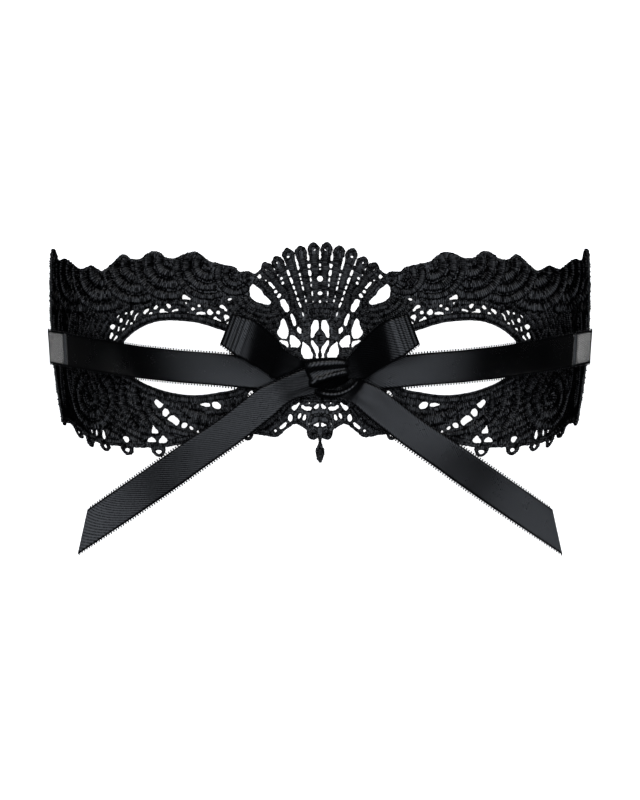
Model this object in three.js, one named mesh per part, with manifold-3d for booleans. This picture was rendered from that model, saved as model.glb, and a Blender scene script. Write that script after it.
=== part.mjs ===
// Lace eye mask with two satin tie ribbons, in millimetres.
// It lies on its outer face: the middle of the lace is flat on the ground at z = 0 and both
// wings curve up, so the side that the wearer feels looks up. The ribbons are sewn to the ends
// of the wings, sag to the middle and are tied there in a bow, whose tails run down to the ground.
// +X runs along the mask, +Y to its upper edge, and the left half mirrors the right one.

import * as THREE from 'three';
import { mergeVertices } from 'three/addons/utils/BufferGeometryUtils.js';
import Module from 'manifold-3d';

const wasm = await Module();
wasm.setup();

// The lace is a plate with raised satin bands on its inner face.
const PLATE = 1.0;
const RELIEF = 0.5;

// The curve of a wing: a flat middle, a slow bend over the brow, a quick one at the temple.
const FLAT = 14;
const BROW_RADIUS = 96.2;
const BROW_TURN = THREE.MathUtils.degToRad(35);
const TEMPLE_RADIUS = 32;
const TEMPLE_TURN = THREE.MathUtils.degToRad(82.7);
const BROW_END = FLAT + BROW_RADIUS * BROW_TURN;
const BROW_CREASES = 5;
const TEMPLE_CREASES = 5;

// Half the length of the lace along its flat pattern. Places on the pattern are given as s,
// measured from the middle, and v, measured up.
const HALF_LENGTH = BROW_END + TEMPLE_RADIUS * (TEMPLE_TURN - BROW_TURN);

// The ends lean in a little above and below this height, by this much a square millimetre.
const FULL_HEIGHT = 33;
const LEAN = 2.84e-5;
const END_HEIGHTS = [36, 26, 15, 4];

// The fan in the middle: ten fingers that spread from one pivot.
const FAN_PIVOT = 9.5;
const FINGER_PITCH = 6.3;
const FINGER_HALF_WIDTH = 1.6;
const FINGER_LENGTHS = [39.2, 38.6, 38.7, 37.4, 37.2];
const FAN_NOTCH = 33;
const FAN_SPAN = 38;
const FAN_CLOSING = 0.004;
const FAN_SLITS = { count: 4, inner: 17, outer: 30.5, innerWidth: 0.45, outerWidth: 0.75 };

// Upper edge outside the fan, as valley and crest of each scallop, and the horn at the end.
const SHOULDER = [[19.6, 39.2], [20.4, 38.7], [22.3, 39.5], [25, 39.4], [26.6, 40.8], [30.2, 41.7]];
const SCALLOPS = [
  { from: [34.6, 42.7], crest: [39.3, 45.6], to: [45.6, 43.6] },
  { from: [48.9, 43.7], crest: [52.9, 45.7], to: [57.4, 43.2] },
  { from: [60.4, 43.1], crest: [63.2, 44.6], to: [69.8, 39.6] },
  { from: [71.4, 39.5], crest: [74.8, 40.9], to: [78.9, 39.8] },
  { from: [80.2, 40.0], crest: [87.2, 42.8], to: [90.1, 42.2] },
];
const SCALLOP_STEPS = [0.25, 0.6, 1];
const HORN = [[93.3, 43.4], [95.6, 45.5], [97.6, 45.6], [HALF_LENGTH, 43.2]];

// Lower edge from the end to the lobe by the drop.
const LOWER_EDGE = [
  [HALF_LENGTH, -6.8], [91.5, -7.4], [89.6, -7.9], [83.4, -11], [79.4, -12.8], [72.6, -14.1],
  [63.6, -14.8], [57, -14.9], [50.7, -14.6], [42.2, -13.2], [34.6, -11.5], [27.8, -10.8],
  [21, -10.9], [15.2, -11.8], [13.4, -11.2], [10.9, -9.3], [8.3, -7.7], [6.3, -8.2], [4.4, -9.4],
];

// Small loops along the lower edge, with the length and width of the hole in each.
const PICOTS = [
  { s: 97.2, halfWidth: 1.1, depth: 1.0, hole: [1.2, 0.7] },
  { s: 86.4, halfWidth: 2.1, depth: 2.2, hole: [1.4, 1.1] },
  { s: 81.2, halfWidth: 1.6, depth: 2.5, hole: [1.2, 1.1] },
  { s: 74.8, halfWidth: 1.9, depth: 2.2, hole: [1.5, 1.4] },
  { s: 66.4, halfWidth: 2.3, depth: 2.6, hole: [2.2, 1.4] },
  { s: 54.9, halfWidth: 2.5, depth: 3.0, hole: [2.7, 1.4] },
  { s: 42.4, halfWidth: 2.2, depth: 2.5, hole: [2.2, 1.3] },
  { s: 32.4, halfWidth: 2.0, depth: 2.2, hole: [1.8, 1.1] },
  { s: 23.7, halfWidth: 1.7, depth: 2.0, hole: [1.5, 0.8] },
];
const PICOT_RIM = 1.5;

// The lobe under the middle, its stem, and the bead and the drop that hang from it.
const LOBE = { s: 2.4, v: -10.9, radius: 1.7 };
const STEM_HALF = 0.45;
const BEAD = { v: -14.2, radius: 0.85 };
const DROP = { top: -15, v: -16.8, halfWidth: 1.45, lowHalfWidth: 1.0, tip: -19.8 };

// The eye opening: points round its rim, joined by one smooth closed curve.
const EYE_RIM = [
  [66.0, 11.6], [63.7, 17.2], [60.8, 19.9], [56.6, 22.4], [51.2, 24.1], [44.6, 24.3],
  [38.1, 23.6], [33.0, 22.1], [27.0, 19.9], [22.0, 15.0], [21.2, 8.0], [25.9, 3.5],
  [32.4, 2.0], [40.2, 1.1], [48.1, 1.9], [54.9, 3.8], [60.2, 6.3], [64.4, 8.8],
];
const EYE_STEPS = 24;

// Openwork, one row an eyelet: s, v, length, width, turn of the length from the s axis.
const FAN_EYELETS = [
  [19.0, 38.0, 1.7, 1.4, 46], [14.8, 35.0, 3.0, 1.6, 46], [12.8, 32.4, 2.4, 1.6, 100],
  [10.8, 28.9, 4.5, 2.3, 63], [8.2, 24.6, 4.2, 1.6, 73], [6.4, 21.2, 2.4, 1.5, 66],
  [18.8, 32.2, 8.4, 3.7, 40], [11.4, 21.4, 6.0, 3.2, 91], [7.8, 17.8, 4.2, 3.1, 64],
  [10.8, 17.1, 2.7, 1.2, 42], [4.2, 14.6, 5.3, 3.4, 70], [1.6, 21.8, 5.6, 2.1, 105],
  [1.2, 15.1, 6.0, 1.2, 90],
];
const BROW_EYELETS = [
  [42.1, 31.4, 3.0, 1.5, 19], [37.6, 28.9, 1.5, 1.1, 7], [37.3, 26.4, 3.2, 1.2, 4],
  [34.4, 26.8, 2.1, 1.7, 30], [30.1, 28.1, 3.0, 1.4, 34], [31.8, 24.6, 3.0, 1.1, 30],
  [29.3, 25.5, 1.9, 1.6, 101], [47.7, 28.7, 1.9, 1.4, 26], [52.0, 28.2, 1.7, 1.4, 0],
  [45.6, 27.2, 2.5, 1.2, 0], [49.8, 27.1, 2.2, 1.3, 0], [55.1, 27.0, 2.7, 1.3, 144],
  [58.7, 25.4, 2.9, 1.2, 123], [64.2, 24.3, 1.7, 1.3, 115], [66.9, 22.1, 2.1, 1.6, 145],
  [67.5, 19.4, 2.3, 1.4, 120], [61.9, 23.6, 2.0, 1.1, 118],
];
const LOWER_EYELETS = [
  [52.7, -1.5, 3.3, 2.3, 32], [50.7, -4.2, 2.7, 2.4, 0], [48.1, -6.6, 3.7, 2.6, 30],
  [44.7, -8.2, 2.3, 1.8, 0], [37.1, -1.8, 3.6, 1.3, 4], [33.5, -2.0, 3.1, 2.3, 22],
  [22.1, 1.6, 2.7, 1.9, 140], [55.3, -9.5, 2.8, 2.2, 59], [56.9, -12.6, 3.1, 1.5, 3],
  [52.8, -12.5, 3.1, 2.2, 2], [66.3, -12.3, 2.6, 2.0, 32], [74.6, -10.9, 3.0, 1.6, 90],
  [77.5, -10.3, 2.2, 1.3, 103],
];
const CENTRE_EYELETS = [
  [8.1, -2.5, 3.2, 1.4, 133], [4.4, -2.8, 3.6, 1.5, 10], [0.95, -2.2, 2.0, 1.0, 39],
  [9.9, -5.9, 2.1, 1.5, 95], [5.2, -5.9, 2.1, 1.1, 106], [12.3, -8.2, 3.1, 1.3, 143],
  [1.35, -8.0, 2.2, 1.2, 0],
];
const MIDDLE_EYELETS = [[0, 37.2, 1.9, 1.8, 0], [0, 32.9, 1.5, 1.4, 0]];

// Raised satin bands: a rim round each eye, a rib on each finger, petals under the scallops and
// on the cheeks.
const RIM_BAND = { inner: 0.5, outer: 2.3 };
const RIB = { halfWidth: 0.85, inner: 15, short: 0.9 };
const PETAL_ROWS = [
  { near: 0.9, nearWidth: 0.86, far: 2.9, farWidth: 0.7 },
  { near: 4.6, nearWidth: 0.86, far: 6.3, farWidth: 0.7 },
];
const CHEEK_PETALS = [
  [72.5, 4, 13, 2.8, 62], [79, 5.5, 14, 3.0, 74], [87, 7, 15, 3.2, 90],
  [76, 25, 15, 3.0, 118], [83.5, 26, 16, 3.2, 106], [91, 26, 17, 3.2, 96],
];

// Satin ribbon, and the clearance that it keeps from the lace.
const RIBBON_WIDTH = 10;
const RIBBON_THICKNESS = 0.35;
const GAP = 0.3;
const RIBBON_STEPS = 20;

// The strap of a ribbon: a leaf sewn to the outer face, a loose turn over the end of the lace,
// and a long sag to the middle. Its heights are x and y of its middle line in plan.
const LEAF_LENGTH = 8.8;
const TURN_RADIUS = 4.3;
const TURN_SWEEP = THREE.MathUtils.degToRad(140);
const STRAP_REST = { x: 15, z: 2.6, power: 2.3 };
const STRAP_HEIGHTS = [[8, 7], [20, 8], [32, 9.2], [44, 10.1], [56, 11.4], [68, 13.3], [84, 16.2]];
const STRAP_STEPS = { leaf: 3, turn: 8, sag: 11 };

// Edges of a loop of the bow and of a tail, outside the knot, drawn for the right side: out along
// the loop's lower layer, round its fold and back along its upper layer; and down to the ground.
const LOOP = {
  upper: [[9, 11.5, 3.6], [16, 18.3, 4.8], [22, 23.4, 7.4], [26, 25.8, 10.6], [27, 26.3, 14.2],
    [25, 25.8, 17.2], [21, 24.2, 18.3], [17, 21.8, 16.8], [12.8, 17.6, 12.4], [9.9, 13.9, 8.6]],
  lower: [[11.5, 5.4, 3.6], [18.5, 9, 4.8], [25, 13, 7.4], [29.2, 16, 10.6], [30.5, 17, 14.2],
    [29, 16.2, 17.2], [25.2, 14.2, 18.3], [21.4, 11.9, 16.8], [16.6, 8.6, 12.4], [12.6, 6.2, 8.6]],
};
const TAIL = {
  upper: [[9.9, 7.4, 7.6], [14.7, 5.1, 7.2], [19.9, 2.5, 6.6], [31, -6.1, 6.7], [41, -12.8, 7.3],
    [48, -17.6, 5.6], [57, -23.8, 1.8], [64, -28.6, 0.4], [72.1, -34.2, 0.3]],
  lower: [[6.4, 1.2, 7.0], [10.6, -1.8, 6.6], [15.5, -6.2, 6.0], [25, -13.6, 5.8], [35.6, -21.1, 6.0],
    [42.6, -26.2, 4.5], [52, -32.7, 1.3], [62, -39.5, 0.4], [75.2, -48.3, 0.3]],
};

// The knot: the left ribbon passes as a gathered core through the right one, which wraps it.
// Each ribbon has a gathered neck beside the knot, where its strap, loop and tail come together.
const KNOT_Y = 6.6;
const CORE = { from: -4.5, to: 6.6, halfWidth: 3.8, bottom: 3.1, top: 6.8 };
const WRAP = { from: -2.4, to: 8.4, halfWidth: 5.3, bottom: 1.6, top: 8.3, wall: 1.1 };
const NECKS = {
  left: { side: -1, from: 3, to: 5.4, halfWidth: 3.9, bottom: 2.2, top: 7.2 },
  right: { side: 1, from: 8.1, to: 10.4, halfWidth: 4.7, bottom: 2.2, top: 7.6 },
};
const NECK_SPREAD = { upper: 3.3, lower: 3.0, loopUnder: 4.2, loopOver: 5.4, tail: 6.3 };
const WRAP_RIDGES = [
  { radius: 0.8, points: [[-2.2, 10.6, 8.0], [2.5, 11.4, 7.8], [7.6, 11.6, 7.4]] },
  { radius: 1.0, points: [[-2.3, 6.0, 8.4], [2.4, 7.8, 9.0], [7.9, 8.9, 8.6]] },
  { radius: 0.9, points: [[1.8, 1.9, 7.6], [5.6, 2.1, 8.2], [8.6, 3.6, 8.2], [10.1, 6.2, 7.4]] },
];
const RIDGE_CORNERS = 6;
const RIDGE_STEPS = 6;
const BAR_CORNERS = 12;

const lean = (v) => 1 - LEAN * (v - FULL_HEIGHT) ** 2;

// Section of a wing at the flat distance s: place of the outer face and its turn from flat.
function wing(s) {
  if (s <= FLAT) {
    return { x: s, z: 0, turn: 0 };
  }
  const brow = Math.min((s - FLAT) / BROW_RADIUS, BROW_TURN);
  const temple = Math.max(s - BROW_END, 0) / TEMPLE_RADIUS + brow;
  return {
    x: FLAT + BROW_RADIUS * Math.sin(brow) + TEMPLE_RADIUS * (Math.sin(temple) - Math.sin(brow)),
    z: BROW_RADIUS * (1 - Math.cos(brow)) + TEMPLE_RADIUS * (Math.cos(brow) - Math.cos(temple)),
    turn: temple,
  };
}

// Point of the curved lace for a point of the flat pattern, rise above the outer face.
function bend(s, v, rise) {
  const side = Math.sign(s);
  const at = wing(Math.abs(s));
  const x = (at.x - rise * Math.sin(at.turn)) * lean(v);
  return new THREE.Vector3(side * x, v, at.z + rise * Math.cos(at.turn));
}

const mirrored = (points) => points.map(([s, v]) => [-s, v]).reverse();
const vectors = (points) => points.map(([s, v]) => new THREE.Vector2(s, v));

// Points of an arc about a centre, from one angle to another, in degrees.
function arc(s, v, radius, from, to, steps) {
  return Array.from({ length: steps + 1 }, (_, i) => {
    const angle = THREE.MathUtils.degToRad(from + (to - from) * i / steps);
    return [s + radius * Math.cos(angle), v + radius * Math.sin(angle)];
  });
}

// Point on a ray of the fan, whose rays close up a little towards the pivot.
const onFan = (angle, radius, aside = 0) => {
  const turn = THREE.MathUtils.degToRad(angle * (1 - FAN_CLOSING * Math.max(FAN_SPAN - radius, 0)));
  return [
    radius * Math.sin(turn) + aside * Math.cos(turn),
    FAN_PIVOT + radius * Math.cos(turn) - aside * Math.sin(turn),
  ];
};

const fingerAngle = (finger) => FINGER_PITCH * (finger + 0.5);

// One finger of the fan: up its near side, round its tip, and into the notch after it.
function fingerOutline(length, finger) {
  const angle = fingerAngle(finger);
  const tip = onFan(angle, length - FINGER_HALF_WIDTH);
  const round = arc(...tip, FINGER_HALF_WIDTH, 180 - angle, -angle, 4);
  const last = finger === FINGER_LENGTHS.length - 1;
  return last ? round.slice(0, -1) : [...round, onFan(angle + FINGER_PITCH / 2, FAN_NOTCH)];
}

// A scallop is two half waves: from a valley over the crest to the next valley.
function scallopOutline({ from, crest, to }) {
  const rise = (a, b, t) => [
    a[0] + (b[0] - a[0]) * t,
    a[1] + (b[1] - a[1]) * (1 - Math.cos(t * Math.PI)) / 2,
  ];
  const up = SCALLOP_STEPS.map((t) => rise(from, crest, t));
  const down = SCALLOP_STEPS.map((t) => rise(crest, to, t));
  return [from, ...up, ...down];
}

// Height of the lower edge, by straight runs between its named points, and its small loops.
function lowerEdge(s) {
  const next = LOWER_EDGE.findIndex(([at]) => at <= s);
  const [s1, v1] = LOWER_EDGE[next];
  const [s0, v0] = LOWER_EDGE[Math.max(next - 1, 0)];
  return s0 === s1 ? v1 : v0 + (v1 - v0) * (s - s0) / (s1 - s0);
}

function picotOutline({ s, halfWidth, depth }) {
  return arc(0, 0, 1, 0, -180, 4).map(([across, down]) => {
    const at = Math.min(s + across * halfWidth, HALF_LENGTH);
    return [at, lowerEdge(at) + down * depth];
  });
}

function lowerOutline() {
  const inPicot = ([s]) => PICOTS.some((picot) => Math.abs(s - picot.s) <= picot.halfWidth);
  const plain = LOWER_EDGE.filter((point) => !inPicot(point));
  return [...plain, ...PICOTS.flatMap(picotOutline)].sort((a, b) => b[0] - a[0]);
}

// Half of the outline, from the top of the slit between the middle fingers to the drop's tip.
function halfOutline() {
  return [
    ...FINGER_LENGTHS.flatMap(fingerOutline),
    ...SHOULDER,
    ...SCALLOPS.flatMap(scallopOutline),
    ...HORN,
    ...END_HEIGHTS.map((v) => [HALF_LENGTH, v]),
    ...lowerOutline(),
    ...arc(LOBE.s, LOBE.v, LOBE.radius, -10, -150, 4),
    [STEM_HALF, LOBE.v - LOBE.radius],
    [STEM_HALF, BEAD.v + BEAD.radius],
    [BEAD.radius, BEAD.v],
    [STEM_HALF, DROP.top],
    [DROP.halfWidth, DROP.v],
    [DROP.lowHalfWidth, (DROP.v + DROP.tip) / 2],
  ];
}

const smoothRim = new THREE.SplineCurve(vectors([...EYE_RIM, EYE_RIM[0]]));

// A line round the eye opening, out from its rim.
function eyeLine(out) {
  return Array.from({ length: EYE_STEPS }, (_, i) => {
    const t = i / EYE_STEPS;
    const at = smoothRim.getPoint(t);
    const along = smoothRim.getTangent(t);
    return [at.x + along.y * out, at.y - along.x * out];
  });
}

function ellipse(s, v, length, width, turn) {
  const corners = Math.min(8, 4 + Math.round(length * width / 6) * 2);
  const tilt = THREE.MathUtils.degToRad(turn);
  return arc(0, 0, 1, 0, 360 - 360 / corners, corners - 1).map(([x, y]) => [
    s + x * length / 2 * Math.cos(tilt) - y * width / 2 * Math.sin(tilt),
    v + x * length / 2 * Math.sin(tilt) + y * width / 2 * Math.cos(tilt),
  ]);
}

const picotEyelet = ({ s, depth, hole }) => [s, lowerEdge(s) - depth + PICOT_RIM, ...hole, 0];

function fanSlit(between) {
  const { inner, outer, innerWidth, outerWidth } = FAN_SLITS;
  const angle = FINGER_PITCH * between;
  return [
    onFan(angle, inner, -innerWidth / 2),
    onFan(angle, inner, innerWidth / 2),
    onFan(angle, outer, outerWidth / 2),
    onFan(angle, outer, -outerWidth / 2),
  ];
}

// All openings of the lace; the eyelets of one half are mirrored to the other.
function openings() {
  const eyelets = [
    ...FAN_EYELETS, ...BROW_EYELETS, ...LOWER_EYELETS, ...CENTRE_EYELETS, ...PICOTS.map(picotEyelet),
  ];
  const slits = Array.from({ length: FAN_SLITS.count }, (_, i) => fanSlit(i + 1));
  const half = [eyeLine(0), ...slits, ...eyelets.map((row) => ellipse(...row))];
  return [...half, ...half.map(mirrored), ...MIDDLE_EYELETS.map((row) => ellipse(...row))];
}

// A mesh with its shared corners joined and nothing but positions.
function welded(geometry) {
  geometry.deleteAttribute('normal');
  geometry.deleteAttribute('uv');
  return mergeVertices(geometry, 1e-4);
}

// Flat solid with these outlines, between two heights.
function slab(outlines, bottom, top) {
  const shapes = outlines.map((points) => new THREE.Shape(vectors(points)));
  const geometry = new THREE.ExtrudeGeometry(shapes, { depth: top - bottom, bevelEnabled: false });
  return toSolid(welded(geometry.translate(0, 0, bottom)));
}

function toSolid(geometry) {
  const mesh = new wasm.Mesh({
    numProp: 3,
    vertProperties: new Float32Array(geometry.attributes.position.array),
    triVerts: new Uint32Array(geometry.index.array),
  });
  mesh.merge();
  return new wasm.Manifold(mesh);
}

function toGeometry(solid) {
  const mesh = solid.getMesh();
  const geometry = new THREE.BufferGeometry();
  geometry.setAttribute('position', new THREE.BufferAttribute(mesh.vertProperties, 3));
  geometry.setIndex(new THREE.BufferAttribute(mesh.triVerts, 1));
  return geometry;
}

// The rib along a finger of the fan.
function fingerRib(length, finger) {
  const angle = fingerAngle(finger);
  return [
    onFan(angle, RIB.inner, -RIB.halfWidth / 2),
    onFan(angle, RIB.inner, RIB.halfWidth / 2),
    onFan(angle, length - RIB.short - RIB.halfWidth, RIB.halfWidth),
    onFan(angle, length - RIB.short, 0),
    onFan(angle, length - RIB.short - RIB.halfWidth, -RIB.halfWidth),
  ].reverse();
}

// A band under a scallop, between two copies of its edge that are lower and shorter.
function petal(scallop, { near, nearWidth, far, farWidth }) {
  const edge = scallopOutline(scallop);
  const middle = (scallop.from[0] + scallop.to[0]) / 2;
  const inset = (depth, width) => edge.map(([s, v]) => [middle + (s - middle) * width, v - depth]);
  return [...inset(near, nearWidth), ...inset(far, farWidth).reverse()];
}

// The raised bands apart from the rim, none of which touches another.
function reliefBands() {
  const half = [
    ...FINGER_LENGTHS.map(fingerRib),
    ...SCALLOPS.flatMap((scallop) => PETAL_ROWS.map((row) => petal(scallop, row))),
    ...CHEEK_PETALS.map((row) => ellipse(...row)),
  ];
  return [...half, ...half.map(mirrored)];
}

function eyeRims(out) {
  const line = eyeLine(out);
  return [line, mirrored(line)];
}

// Splits a triangle at the corners of its neighbours that lie on its side along a crease.
function matchedTo(corners, triangle, cut, near) {
  const on = triangle.map((p) => Math.abs(p.x - cut) < near);
  if (on.filter(Boolean).length !== 2) {
    return [triangle];
  }
  const first = [0, 1, 2].find((k) => on[k] && on[(k + 1) % 3]);
  const [a, b, c] = [0, 1, 2].map((k) => triangle[(first + k) % 3]);
  const span = a.distanceTo(b);
  const between = corners
    .filter((p) => p.distanceTo(a) > near && p.distanceTo(b) > near)
    .filter((p) => p.distanceTo(a) + p.distanceTo(b) < span + near * near)
    .sort((p, q) => p.distanceTo(a) - q.distanceTo(a));
  const chain = [a, ...between, b];
  return chain.slice(1).map((p, i) => [chain[i], p, c]);
}

// Joins parts that share whole faces across creases, and leaves those inner faces out.
function sewnAcross(parts, cuts) {
  const near = 1e-3;
  let triangles = [];
  for (const part of parts) {
    const source = toGeometry(part).toNonIndexed().attributes.position;
    for (let i = 0; i < source.count; i += 3) {
      const points = [0, 1, 2].map((k) => new THREE.Vector3().fromBufferAttribute(source, i + k));
      if (!cuts.some((cut) => points.every((p) => Math.abs(p.x - cut) < near))) {
        triangles.push(points);
      }
    }
  }
  for (const cut of cuts) {
    const onCut = triangles.flat().filter((p) => Math.abs(p.x - cut) < near);
    const corners = onCut.filter((p, i) => onCut.findIndex((q) => q.distanceTo(p) < near) === i);
    triangles = triangles.flatMap((triangle) => matchedTo(corners, triangle, cut, near));
  }
  const sewn = new THREE.BufferGeometry();
  const numbers = triangles.flat().flatMap((p) => p.toArray());
  sewn.setAttribute('position', new THREE.Float32BufferAttribute(numbers, 3));
  return mergeVertices(sewn, near);
}

// Where the flat lace is creased to follow its curve.
function creases() {
  const between = (from, to, count) => (
    Array.from({ length: count }, (_, i) => from + (to - from) * i / count));
  const half = [
    ...between(FLAT, BROW_END, BROW_CREASES),
    ...between(BROW_END, HALF_LENGTH, TEMPLE_CREASES),
  ];
  return half.flatMap((s) => [s, -s]).sort((a, b) => a - b);
}

function bentLace() {
  const half = halfOutline();
  const outline = [...half, [0, DROP.tip], ...mirrored(half), onFan(0, FAN_NOTCH)];
  const top = PLATE + RELIEF;
  const solid = slab([outline], 0, PLATE)
    .add(slab(reliefBands(), PLATE / 2, top))
    .add(slab(eyeRims(RIM_BAND.outer), PLATE / 2, top))
    .subtract(slab(eyeRims(RIM_BAND.inner), PLATE, top + 1))
    .subtract(slab(openings(), -1, top + 1));
  const cuts = creases();
  const parts = [];
  let rest = solid;
  for (const cut of cuts) {
    const [beyond, part] = rest.splitByPlane([1, 0, 0], cut);
    parts.push(part);
    rest = beyond;
  }
  const flat = sewnAcross([...parts, rest], cuts);
  const position = flat.attributes.position;
  const point = new THREE.Vector3();
  for (let i = 0; i < position.count; i += 1) {
    point.fromBufferAttribute(position, i);
    position.setXYZ(i, ...bend(point.x, point.y, point.z).toArray());
  }
  return flat;
}

// A thin closed strip between two edge lines, whose points pair up along it.
function strip(upper, lower, thickness) {
  const last = upper.length - 1;
  const corners = [];
  for (let i = 0; i <= last; i += 1) {
    const before = Math.max(i - 1, 0);
    const after = Math.min(i + 1, last);
    const along = upper[after].clone().add(lower[after]).sub(upper[before]).sub(lower[before]);
    const across = upper[i].clone().sub(lower[i]);
    const out = across.cross(along).setLength(thickness / 2);
    corners.push(upper[i].clone().add(out), lower[i].clone().add(out));
    corners.push(lower[i].clone().sub(out), upper[i].clone().sub(out));
  }
  const faces = [0, 1, 2, 0, 2, 3];
  for (let i = 0; i < last; i += 1) {
    for (let k = 0; k < 4; k += 1) {
      const a = 4 * i + k;
      const b = 4 * i + (k + 1) % 4;
      faces.push(a, a + 4, b, b, a + 4, b + 4);
    }
  }
  const end = 4 * last;
  faces.push(end, end + 2, end + 1, end, end + 3, end + 2);
  const geometry = new THREE.BufferGeometry();
  const numbers = corners.flatMap((p) => p.toArray());
  geometry.setAttribute('position', new THREE.Float32BufferAttribute(numbers, 3));
  geometry.setIndex(faces);
  const solid = toSolid(geometry);
  if (solid.volume() > 0) {
    return solid;
  }
  geometry.setIndex(faces.reverse());
  return toSolid(geometry);
}

const curveThrough = (points, steps) => (
  new THREE.CatmullRomCurve3(points.map((p) => new THREE.Vector3(...p))).getPoints(steps));

// Height of the strap's middle line in plan, by straight runs between named points.
function strapHeight(x) {
  const next = Math.max(STRAP_HEIGHTS.findIndex(([at]) => at >= x), 1);
  const [x0, v0] = STRAP_HEIGHTS[next - 1];
  const [x1, v1] = STRAP_HEIGHTS[next];
  return v0 + (v1 - v0) * (x - x0) / (x1 - x0);
}

// Middle line of the strap, from the end of its leaf to the knot.
function strapLine(root) {
  const outside = -(GAP + RIBBON_THICKNESS / 2);
  const points = [];
  for (let i = 0; i <= STRAP_STEPS.leaf; i += 1) {
    const s = HALF_LENGTH - LEAF_LENGTH * (1 - i / STRAP_STEPS.leaf);
    points.push(bend(s, strapHeight(wing(s).x), outside));
  }
  const edge = points.at(-1);
  const centre = {
    x: edge.x - TURN_RADIUS * Math.sin(TEMPLE_TURN),
    z: edge.z + TURN_RADIUS * Math.cos(TEMPLE_TURN),
  };
  for (let i = 1; i <= STRAP_STEPS.turn; i += 1) {
    const turn = TEMPLE_TURN + TURN_SWEEP * i / STRAP_STEPS.turn;
    const x = centre.x + TURN_RADIUS * Math.sin(turn);
    points.push(new THREE.Vector3(x, strapHeight(x), centre.z - TURN_RADIUS * Math.cos(turn)));
  }
  const top = points.at(-1);
  for (let i = 1; i <= STRAP_STEPS.sag; i += 1) {
    const x = top.x + (root - top.x) * i / STRAP_STEPS.sag;
    const sag = Math.max(x - STRAP_REST.x, 0) / (top.x - STRAP_REST.x);
    const z = STRAP_REST.z + (top.z - STRAP_REST.z) * sag ** STRAP_REST.power;
    points.push(new THREE.Vector3(x, strapHeight(x), z));
  }
  return points;
}

// The strap's two edges, square to its middle line, which lean in as the lace's end does.
function strapEdges(root) {
  const line = strapLine(root);
  const offset = (sign) => line.map((p, i) => {
    const after = line[Math.min(i + 1, line.length - 1)];
    const before = line[Math.max(i - 1, 0)];
    const along = after.clone().sub(before).normalize();
    const across = new THREE.Vector3(0, 1, 0).addScaledVector(along, -along.y);
    const edge = p.clone().addScaledVector(across.normalize(), sign * RIBBON_WIDTH / 2);
    edge.x *= lean(edge.y) / lean(p.y);
    return edge;
  });
  return [offset(1), offset(-1)];
}

// A length along X of an upright section with rounded corners.
function roundedBar({ from, to, halfWidth, bottom, top }) {
  const half = (top - bottom) / 2;
  const section = ellipseSection(half, halfWidth);
  const shape = new THREE.Shape(section);
  const geometry = new THREE.ExtrudeGeometry(shape, { depth: to - from, bevelEnabled: false });
  geometry.rotateY(Math.PI / 2);
  return toSolid(welded(geometry.translate(from, KNOT_Y, bottom + half)));
}

// Section halfway between an ellipse and its box.
function ellipseSection(halfHeight, halfWidth) {
  const squarer = (value) => Math.sign(value) * Math.sqrt(Math.abs(value));
  return Array.from({ length: BAR_CORNERS }, (_, i) => {
    const angle = (i + 0.5) * 2 * Math.PI / BAR_CORNERS;
    return new THREE.Vector2(
      halfHeight * squarer(Math.cos(angle)), halfWidth * squarer(Math.sin(angle)));
  });
}

// A rolled fold of the knot, round about its line.
function ridge({ radius, points }) {
  const path = new THREE.CatmullRomCurve3(points.map((p) => new THREE.Vector3(...p)));
  const last = 360 - 360 / RIDGE_CORNERS;
  const round = new THREE.Shape(vectors(arc(0, 0, radius, 0, last, RIDGE_CORNERS - 1)));
  const way = { steps: RIDGE_STEPS, bevelEnabled: false, extrudePath: path };
  return toSolid(welded(new THREE.ExtrudeGeometry(round, way)));
}

function wrap() {
  const { from, to, halfWidth, bottom, top, wall } = WRAP;
  const hollow = roundedBar({
    from: from - 1, to: to + 1, halfWidth: halfWidth - wall, bottom: bottom + wall, top: top - wall,
  });
  const ring = roundedBar(WRAP).subtract(hollow);
  return WRAP_RIDGES.reduce((whole, row) => whole.add(ridge(row)), ring);
}

// One ribbon: its strap, its loop and its tail, joined in its neck.
function ribbon({ side, from, to, halfWidth, bottom, top }) {
  const root = (from + to) / 2;
  const high = (z) => [root, KNOT_Y + NECK_SPREAD.upper, z];
  const low = (z) => [root, KNOT_Y - NECK_SPREAD.lower, z];
  const { loopUnder, loopOver, tail } = NECK_SPREAD;
  const edges = [
    strapEdges(root),
    [
      curveThrough([high(loopUnder), ...LOOP.upper, high(loopOver)], RIBBON_STEPS),
      curveThrough([low(loopUnder), ...LOOP.lower, low(loopOver)], RIBBON_STEPS),
    ],
    [
      curveThrough([high(tail), ...TAIL.upper], RIBBON_STEPS),
      curveThrough([low(tail), ...TAIL.lower], RIBBON_STEPS),
    ],
  ];
  const place = (line) => line.map((p) => new THREE.Vector3(side * p.x, p.y, p.z));
  const strips = edges.map(([upper, lower]) => strip(place(upper), place(lower), RIBBON_THICKNESS));
  const neck = roundedBar({
    from: Math.min(side * from, side * to), to: Math.max(side * from, side * to), halfWidth, bottom, top,
  });
  return strips.reduce((whole, part) => whole.add(part), neck);
}

// The outer skin of a solid, which fills the small pockets that its folds close in.
const outerSkin = (solid) => solid.decompose().reduce((a, b) => (a.volume() > b.volume() ? a : b));

const piece = (name, geometry, finish) => {
  const mesh = new THREE.Mesh(geometry, new THREE.MeshStandardMaterial(finish));
  mesh.name = name;
  return mesh;
};

const THREAD = { color: 0x141516, roughness: 0.8, metalness: 0 };
const SATIN = { color: 0x1a1b1f, roughness: 0.35, metalness: 0 };
const leftRibbon = outerSkin(ribbon(NECKS.left).add(roundedBar(CORE)));
const rightRibbon = outerSkin(ribbon(NECKS.right).add(wrap()));

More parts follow.
